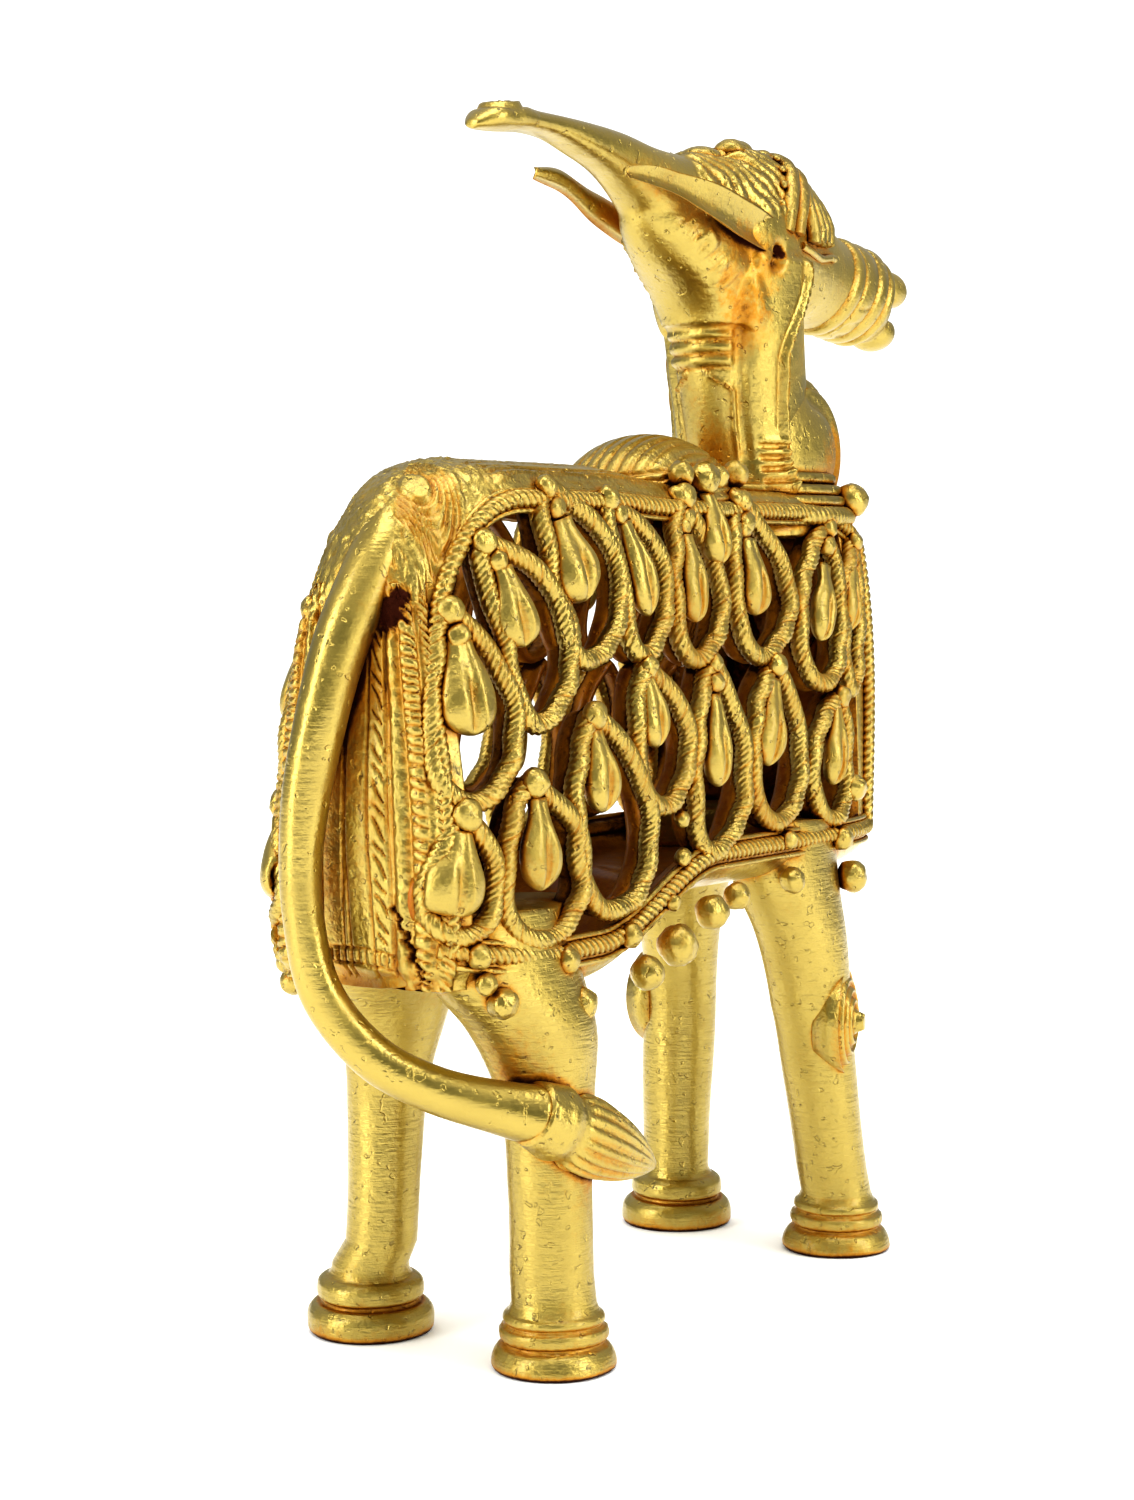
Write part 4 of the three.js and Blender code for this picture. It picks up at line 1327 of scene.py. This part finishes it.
def globe(around, rises):
    """Unit vectors round a globe at given latitudes, in half turns."""
    turn = circle(around)[None, :]
    rise = rises[:, None] * np.pi
    return np.cos(rise) * np.cos(turn), np.cos(rise) * np.sin(turn), np.sin(rise) + 0 * turn


def swollen(centre, radii, directions, grow=1.0):
    """An ellipsoid's rings from unit vectors, grown or shrunk from place to place."""
    sides = [c + size * v * grow for c, size, v in zip(centre, radii, directions)]
    return np.stack(sides, axis=-1)


def hump():
    x, y, z = globe(200, np.linspace(-0.28, 0.5, 84))
    tilt = z - 0.25 * x
    zigzag = 0.52 + 0.035 * (2 * np.abs(np.mod(x * 7, 1) - 0.5) - 0.5)
    lift = -(0.45 * cut(tilt * 14, 0.42 * 14, 0.30) + 0.45 * cut(tilt * 14, 0.62 * 14, 0.30))
    lift -= 0.5 * cut(tilt * 14, zigzag * 14, 0.26)
    lift -= 0.38 * (tilt > 0.66) * cut(np.mod(np.abs(y) * 14, 2.1), 1.05, 0.34)
    leaf = np.hypot(x - 0.1, (z + 0.9) * 1.15)
    lift -= 0.42 * (tilt < 0.38) * cut(np.mod(leaf * 15, 2.0), 1.0, 0.36)
    return skin(swollen(HUMP_CENTRE, HUMP_RADII, (x, y, z), 1 + lift / 14)[:, ::-1])


def hump_rim():
    turn = np.linspace(0, 2 * np.pi, 140, endpoint=False)
    x = HUMP_CENTRE[0] + 19.4 * np.cos(turn)
    z = 149.2 - 1.2 * np.sin(turn) ** 2 + 2.0 * np.cos(turn) ** 2
    return [(np.stack([x, 16.4 * np.sin(turn), z], axis=-1), True)]


piece("hump", [hump()], WORKED_BRASS)
ropes("hump_rim", hump_rim(), 1.2, 3.0, strands=2.0, depth=0.15, step=0.3)


# %% [markdown]
# ## Neck, skull, horn bar and muzzle in one skin
#
# On the casting the horn bar, the skull, the neck and the muzzle flow into each other. Here they
# are rough shells first, which a voxel remesh melts to one skin and a smoothing softens. Then the
# carving goes on: every point moves along its normal by a sum of ridges and cuts. The neck gets
# three rings behind and a lappet down each side with a thick front rim and a ribbed fringe; the
# muzzle gets three slanting rings, the mouth and the nostrils; the horn tip gets its ringed disc.

# %% Rough shells
# Rows of the neck: x, z, radii along and across; of the nape: z, rear x, radius across; of the
# horn bar and the head: x, z, radii upwards and across.
NECK = [
    (99.0, 143.0, 20.0, 16.5), (101.0, 149.0, 20.2, 16.2), (101.0, 153.0, 19.0, 14.2),
    (99.5, 157.0, 17.6, 12.0), (97.0, 165.0, 17.0, 11.4), (94.9, 174.0, 17.0, 11.6),
    (93.4, 182.0, 17.1, 12.0), (92.2, 188.0, 17.4, 12.5), (91.0, 194.0, 18.0, 13.2),
    (89.6, 200.0, 18.6, 13.8), (88.0, 206.0, 18.0, 13.4), (87.0, 212.0, 13.0, 9.6),
]
NAPE = [
    (184.0, 74.0, 10.6), (187.0, 72.8, 11.4), (189.5, 70.6, 11.6), (192.0, 67.4, 11.6),
    (194.5, 63.6, 11.4), (197.5, 59.8, 11.0), (201.0, 56.6, 10.6), (205.0, 55.0, 9.6),
    (209.0, 55.0, 7.6), (212.0, 58.0, 5.0),
]
NAPE_FRONT = 96
HORN = [
    (4.4, 213.9, 0.8, 1.5), (7.0, 215.0, 1.8, 3.5), (12.5, 216.1, 2.5, 4.6),
    (20.6, 216.4, 2.0, 4.0), (28.6, 216.3, 2.2, 4.0), (36.0, 215.5, 3.0, 4.4),
    (48.0, 213.5, 4.5, 5.2), (57.0, 210.4, 6.4, 6.4), (65.0, 207.2, 9.4, 8.0),
    (74.0, 204.4, 13.0, 10.4), (84.0, 203.4, 14.6, 12.0),
]
HEAD = [
    (83.0, 203.5, 12.5, 9.5), (86.0, 204.0, 15.0, 11.2), (91.0, 203.9, 16.0, 12.0),
    (97.0, 203.5, 16.2, 12.4), (101.5, 202.6, 15.6, 12.2), (106.0, 201.7, 14.4, 11.4),
    (111.0, 200.3, 13.2, 10.7), (118.0, 198.7, 11.8, 9.7), (126.0, 196.9, 10.4, 8.7),
    (133.0, 195.8, 9.9, 8.3), (140.0, 195.2, 9.9, 8.2), (144.5, 194.9, 9.3, 7.6),
    (147.0, 194.7, 8.0, 6.4), (148.8, 194.5, 5.6, 4.4),
]


def ball(centre, radii):
    return skin(swollen(centre, radii, globe(40, np.linspace(-0.5, 0.5, 26)[1:-1])))


def neck():
    rows = flow([[z, x, long_r, wide_r] for x, z, long_r, wide_r in NECK], 90, 1)
    return skin([level_oval((x, 0, z), long_r, wide_r, 72) for z, x, long_r, wide_r in rows])


def nape():
    """The rear of the skull, which leans out under the horn bar."""
    rings = []
    for z, rear, wide in flow(NAPE, 50, 1):
        centre = ((rear + NAPE_FRONT) / 2, 0, z)
        rings.append(level_oval(centre, (NAPE_FRONT - rear) / 2, wide, 64))
    return skin(rings)


def horn_bar():
    rings = []
    for x, z, high, wide in flow(HORN, 90, 1):
        over = unit((0.35 * (x - 4.4) / 80, 0, 1))
        rings.append(oval((x, 0, z), over, (0, 1, 0), high, wide, 56, power=0.85))
    return skin(rings)


def muzzle():
    up, across = (0, 0, 1), (0, 1, 0)
    rows = flow(HEAD, 120, 1)
    return skin([oval((x, 0, z), up, across, high, wide, 72) for x, z, high, wide in rows])


# %% Melting and carving
def melted(name, shells, cell, rounds):
    """One soft skin round overlapping shells; its points and normals in millimetres."""
    rough = bare(name + " rough", shells)
    melt = rough.modifiers.new("melt", "REMESH")
    melt.mode = "VOXEL"
    melt.voxel_size = cell * MM
    soften = rough.modifiers.new("soften", "SMOOTH")
    soften.factor = 0.5
    soften.iterations = rounds
    mesh = plain_mesh(name, rough)
    flat = np.empty(len(mesh.vertices) * 3)
    mesh.vertices.foreach_get("co", flat)
    points = flat.reshape(-1, 3) / MM - SHIFT
    mesh.vertices.foreach_get("normal", flat)
    return mesh, points, flat.reshape(-1, 3).copy()


def carved(mesh, points, normals, relief, material):
    """Moves every point along its normal and settles the piece."""
    mesh.vertices.foreach_set("co", metres(points + normals * relief[:, None]).ravel())
    mesh.update()
    outward(mesh)
    settle(placed(mesh.name, mesh), [material])


def near(p, start, end, reach):
    """1 on a line from start to end, fading to 0 at its reach; both sides of the head."""
    q = np.abs(p * [0, 1, 0]) + p * [1, 0, 1]
    start, end = np.array(start), np.array(end)
    run = end - start
    t = clamp((q - start) @ run / max(run @ run, 1e-9))
    return ridge(np.linalg.norm(q - start - t[:, None] * run, axis=1), 0, reach)


NECK_RINGS = (182.7, 180.1, 177.5)
NECK_GROOVES = (184.1, 181.4, 178.8, 176.2)


def neck_relief(p):
    """Lappets, fringe and neck rings, by the angle round the neck: 0 in front, 180 behind."""
    x, y, z = p.T
    rows = np.array(NECK)
    middle, long_r, wide_r = (np.interp(z, rows[:, 1], rows[:, k]) for k in (0, 2, 3))
    angle = np.degrees(np.arctan2(np.abs(y) / wide_r, (x - middle) / long_r))
    rim = 72 + 30 * ease((196 - z) / 20) + 0.45 * np.maximum(176 - z, 0)
    rear = np.interp(z, [150, 176, 183, 193, 200], [146, 139, 136, 132, 122])
    here = (z < 200.5) & (z > 150.5)
    up = ease((199.5 - z) / 2.5) * ease((z - 150.5) / 2) * here
    # The lappet is thickest at its front rim, with a groove behind the rim and a ribbed foot.
    panel = ease((angle - rim) / 2.0) * ease((rear - angle) / 9)
    relief = up * panel * (0.7 + 1.3 * clamp((rear - angle) / (rear - rim)))
    relief += up * 1.3 * ridge(angle - rim, 2.6, 2.2)
    relief -= 0.3 * up * ridge(angle - rim, 7.5, 1.6) * (z > 165)
    fringe = strip(z, 151, 163.5, 1.5) * strip(angle, rim - 1, rim + 26, 5)
    relief += up * 0.6 * fringe * np.cos(2 * np.pi * z / 2.5)
    hollow = ridge(angle - rear, 0.5, 6.5) * ease((197 - z) / 5) * ease((z - 158) / 16)
    relief -= 0.7 * hollow * here
    # Behind, three rings, and below them the border that runs down to the collar.
    behind = ease((angle - rear - 4) / 5) * here
    for at in NECK_RINGS:
        relief += 0.85 * behind * ridge(z, at, 1.15)
    for at in NECK_GROOVES:
        relief -= 0.5 * behind * cut(z, at, 0.30)
    edge = rear + 6 + 22 * ease((z - 171.5) / 3.6)
    border = ridge(angle, edge, 1.7) * ease((z - 156) / 6)
    return relief + 0.9 * here * (z < 175.6) * border


# Each ring of the muzzle: where along the head, and how wide.
MUZZLE_RINGS = ((127.8, 2.3), (133.4, 3.2), (139.1, 2.4), (143.4, 1.6))
MUZZLE_GROOVES = (125.4, 130.2, 136.4, 141.5)


def head_relief(p):
    """Muzzle rings, mouth, wrapped hair, and the rough patch and small hollows by the ear."""
    x, y, z = p.T
    side = np.abs(y)
    face = ease((x - 116) / 4)
    slanted = x - 0.45 * (z - 195.8)
    relief = 0.0 * x
    for at, wide in MUZZLE_RINGS:
        relief += 0.95 * face * ridge(slanted, at, wide)
    for at in MUZZLE_GROOVES:
        relief -= 0.75 * face * cut(slanted, at, 0.45)
    ticks = cut(np.mod(z - 0.6 * side, 1.9), 0.9, 0.25) * strip(slanted, 131.2, 135.6, 0.5)
    relief -= 0.35 * face * ticks * (z < 193)
    relief -= 3.4 * ease((x - 148.5) / 2.5) * ridge(z, 192.0, 0.95)
    nostril = ((x - 157) / 1.2) ** 2 + ((side - 3.2) / 1.0) ** 2 + ((z - 198.2) / 0.9) ** 2
    relief -= 0.9 * np.exp(-nostril)
    hair = strip(x + 0.30 * side, 69.0, 101.0, 1.5) * ease((z - 204.6 - 0.1 * (x - 80)) / 1.6)
    strand = x - 0.85 * side + 0.5 * np.sin(side * 0.9 + x * 0.3)
    relief += hair * (1.0 * np.abs(np.cos(np.pi * strand / 3.3)) ** 0.6 - 0.1)
    relief -= 0.35 * hair * cut(np.mod(strand, 3.3), 0.55, 0.22)
    relief += 0.12 * hair * grit(x + side, z - side, 0.9)
    patch = near(p, (63.5, 9.4, 201.0), (76.7, 8.2, 191.5), 2.6)
    relief += patch * (0.7 * grit(x - z, y + 0.6 * z, 1.0) - 0.4)
    relief += 1.3 * near(p, (67.5, 9.0, 200.6), (68.3, 9.4, 199.4), 1.3)
    relief -= 2.0 * near(p, (87.0, 13.5, 199.1), (85.5, 12.9, 196.4), 1.3)
    return relief


def horn_relief(p):
    x, y, z = p.T
    top = (z > 215.5) & (x < 20)
    disc = np.hypot(x - 12.6, y / 0.9)
    rings = 0.55 * ridge(disc, 3.5, 0.55) + 0.4 * ridge(disc, 1.9, 0.45) + 0.5 * ridge(disc, 0, 0.8)
    return top * (rings - 0.3 * ridge(disc, 4.6, 0.5))


def head_core():
    nose = ball((153.2, 0, 197.3), (7.2, 5.6, 4.5))
    chin = ball((149.4, 0, 188.1), (5.2, 5.2, 4.2))
    shells = [neck(), horn_bar(), muzzle(), nose, chin, nape()]
    mesh, points, normals = melted("head_and_neck", shells, 0.55, 7)
    relief = neck_relief(points) + head_relief(points) + horn_relief(points)
    carved(mesh, points, normals, relief, HEAD_BRASS)


head_core()


# %% [markdown]
# ## Collar and bib
#
# Smooth rings and a coil join the neck to the drum, and a domed bib with a double raised border
# covers the throat.

# %% Collar
def collar_ring(height, reach):
    turn = np.linspace(0, 2 * np.pi, 160, endpoint=False)
    x = 101.4 + (20.2 + reach) * np.cos(turn)
    y = (16.4 + reach) * np.sin(turn)
    return np.stack([x, y, np.full_like(x, height)], axis=-1), True


smooth_rings = [collar_ring(155.0, -2.6), collar_ring(152.6, -1.2), collar_ring(150.4, -0.2)]
ropes("collar_rings", smooth_rings, 1.15, 9.0, strands=2.0, depth=0.03, step=0.5)
ropes("collar_coil", [collar_ring(147.4, 0.7)], 1.8, 4.2, strands=3.0, depth=0.13, step=0.3)


# %% Bib
def bib():
    y, z, x = globe(150, np.linspace(-0.5, 0.5, 120)[1:-1])
    side = np.abs(y)
    edge = ridge(side, 0.50, 0.06) + ridge(side, 0.70, 0.06)
    edge = edge - 0.7 * ridge(side, 0.60, 0.05) - 0.7 * ridge(side, 0.80, 0.05)
    grow = 1 + 0.07 * edge * ease((x + 0.1) / 0.2)
    return skin(swollen((103.6, 0, 160.0), (18.4, 13.8, 17.4), (x, y, z), grow))


piece("bib", [bib()], HEAD_BRASS)


# %% [markdown]
# ## Hair and straps
#
# Hair is wrapped over the crown in slanting strands under four small balls. A double strap with a
# row of tiny beads comes down in front of the ear, with wavy locks before it and a fine lid line
# under them.

# %% Straps, locks and hair beads
def head_surface(x, turn, out):
    """A point on the head at a distance along it and an angle from straight up."""
    at, *columns = np.array(HEAD).T
    z, high, wide = [np.interp(x, at, column) for column in columns]
    y, z = (wide + out) * np.sin(turn), z + (high + out) * np.cos(turn)
    return np.stack([x + 0 * turn, y, z], axis=-1)


def strap_bow(turn):
    """How far a strap bows forward at an angle from straight up."""
    return 11.5 * np.cos(turn * 0.95) ** 1.5


def straps():
    turn = np.linspace(-1.62, 1.62, 90)
    return [(head_surface(90.2 + gap + strap_bow(turn), turn, 0.9), False) for gap in (0.0, 3.7)]


def locks():
    lines = []
    for side in (RIGHT, LEFT):
        for i, x0 in enumerate((100.6, 103.9, 107.0, 110.0)):
            turn = side * np.linspace(0.75 - 0.06 * i, 1.62 - 0.05 * i, 40)
            x = x0 + 0.75 * np.sin(np.abs(turn) * 9 + 1.3 * i)
            lines.append((head_surface(x, turn, 0.7), False))
    return lines


def eye_lines():
    x = np.linspace(97.5, 114.0, 40)
    turn = 1.72 - 0.17 * ease((x - 106) / 8)
    return [(head_surface(x, side * turn, 0.25), False) for side in (RIGHT, LEFT)]


ropes("head_straps", straps(), 1.75, 9.0, strands=2.0, depth=0.06, corners=14, step=0.5)
ropes("eye_locks", locks(), 1.55, 30.0, strands=2.0, depth=0.08, corners=12, step=0.5)
ropes("eye_lines", eye_lines(), 0.75, 30.0, strands=2.0, depth=0.05, corners=10, step=0.5)

crown_marks = [
    ((79.0, 0.0, 217.0), (0, 0, 1), 4.4, 2.3),
    ((88.4, -1.2, 219.4), (0, 0, 1), 3.3, 2.4),
    ((94.2, 0.8, 220.0), (0, 0, 1), 3.4, 2.4),
    ((100.0, -1.4, 218.6), (0.25, 0, 1), 2.8, 2.4),
]
for side in (RIGHT, LEFT):
    for angle in (0.55, 0.8, 1.05, 1.3, 1.52):
        x = 87.2 + strap_bow(angle)
        at = head_surface(x, side * np.array(angle), 1.2)
        crown_marks.append((at, at - np.array([x, 0, 203.5]), 0.85, 0.8))
beads("crown_beads", crown_marks, around=14, uneven=0.5)


# %% [markdown]
# ## Leaf ears
#
# Two slender leaf-shaped ears point back beside the horn bar: each is a trough with a thick rim,
# bright where it was handled. The left one stands a little higher.

# %% Leaf ears
# Along an ear: place, thickness and half width.
EAR = [
    (95.0, 10.6, 199.0, 2.2, 2.4), (88.0, 12.2, 201.0, 2.4, 3.0), (81.0, 12.9, 202.6, 2.6, 3.5),
    (72.0, 13.2, 204.3, 2.6, 3.6), (63.0, 12.9, 206.2, 2.4, 3.1), (53.0, 12.0, 208.1, 2.0, 2.1),
    (44.0, 11.2, 208.9, 1.8, 1.7), (38.0, 10.6, 208.7, 1.2, 1.0),
]


def leaf_ear(side):
    raised = 1.6 if side == LEFT else 0.0
    s = np.linspace(-1, 1, 17)
    rings = []
    for x, y, z, thick, wide in flow(EAR, 80):
        lift = raised * float(ease((60 - x) / 15))
        centre = np.array([x, side * y, z + lift])
        spread = unit((0.1, side * 0.35, 0.94))
        face = unit((0.2, side * 0.94, -0.35))
        rim = thick * (0.95 * (s < 0) * np.abs(s) ** 2.4 + 0.15 * (s > 0) * s**3 - 0.35)
        inner = centre + s[:, None] * wide * spread + rim[:, None] * face
        outer = centre + s[::-1, None] * wide * 0.97 * spread
        outer = outer - (thick * (1 - 0.75 * s[::-1] ** 2))[:, None] * face
        rings.append(np.concatenate([inner, outer[1:-1]]))
    return skin(wobble(np.array(rings), 0.12, 5.0))


piece("leaf_ears", [leaf_ear(RIGHT), leaf_ear(LEFT)], HEAD_BRASS)


# %% [markdown]
# ## Triangle count
#
# The pieces and their triangles are counted and printed.

# %% Count
total = sum(count for _, count in pieces)
print(len(pieces), "pieces,", total, "triangles in all before walls")
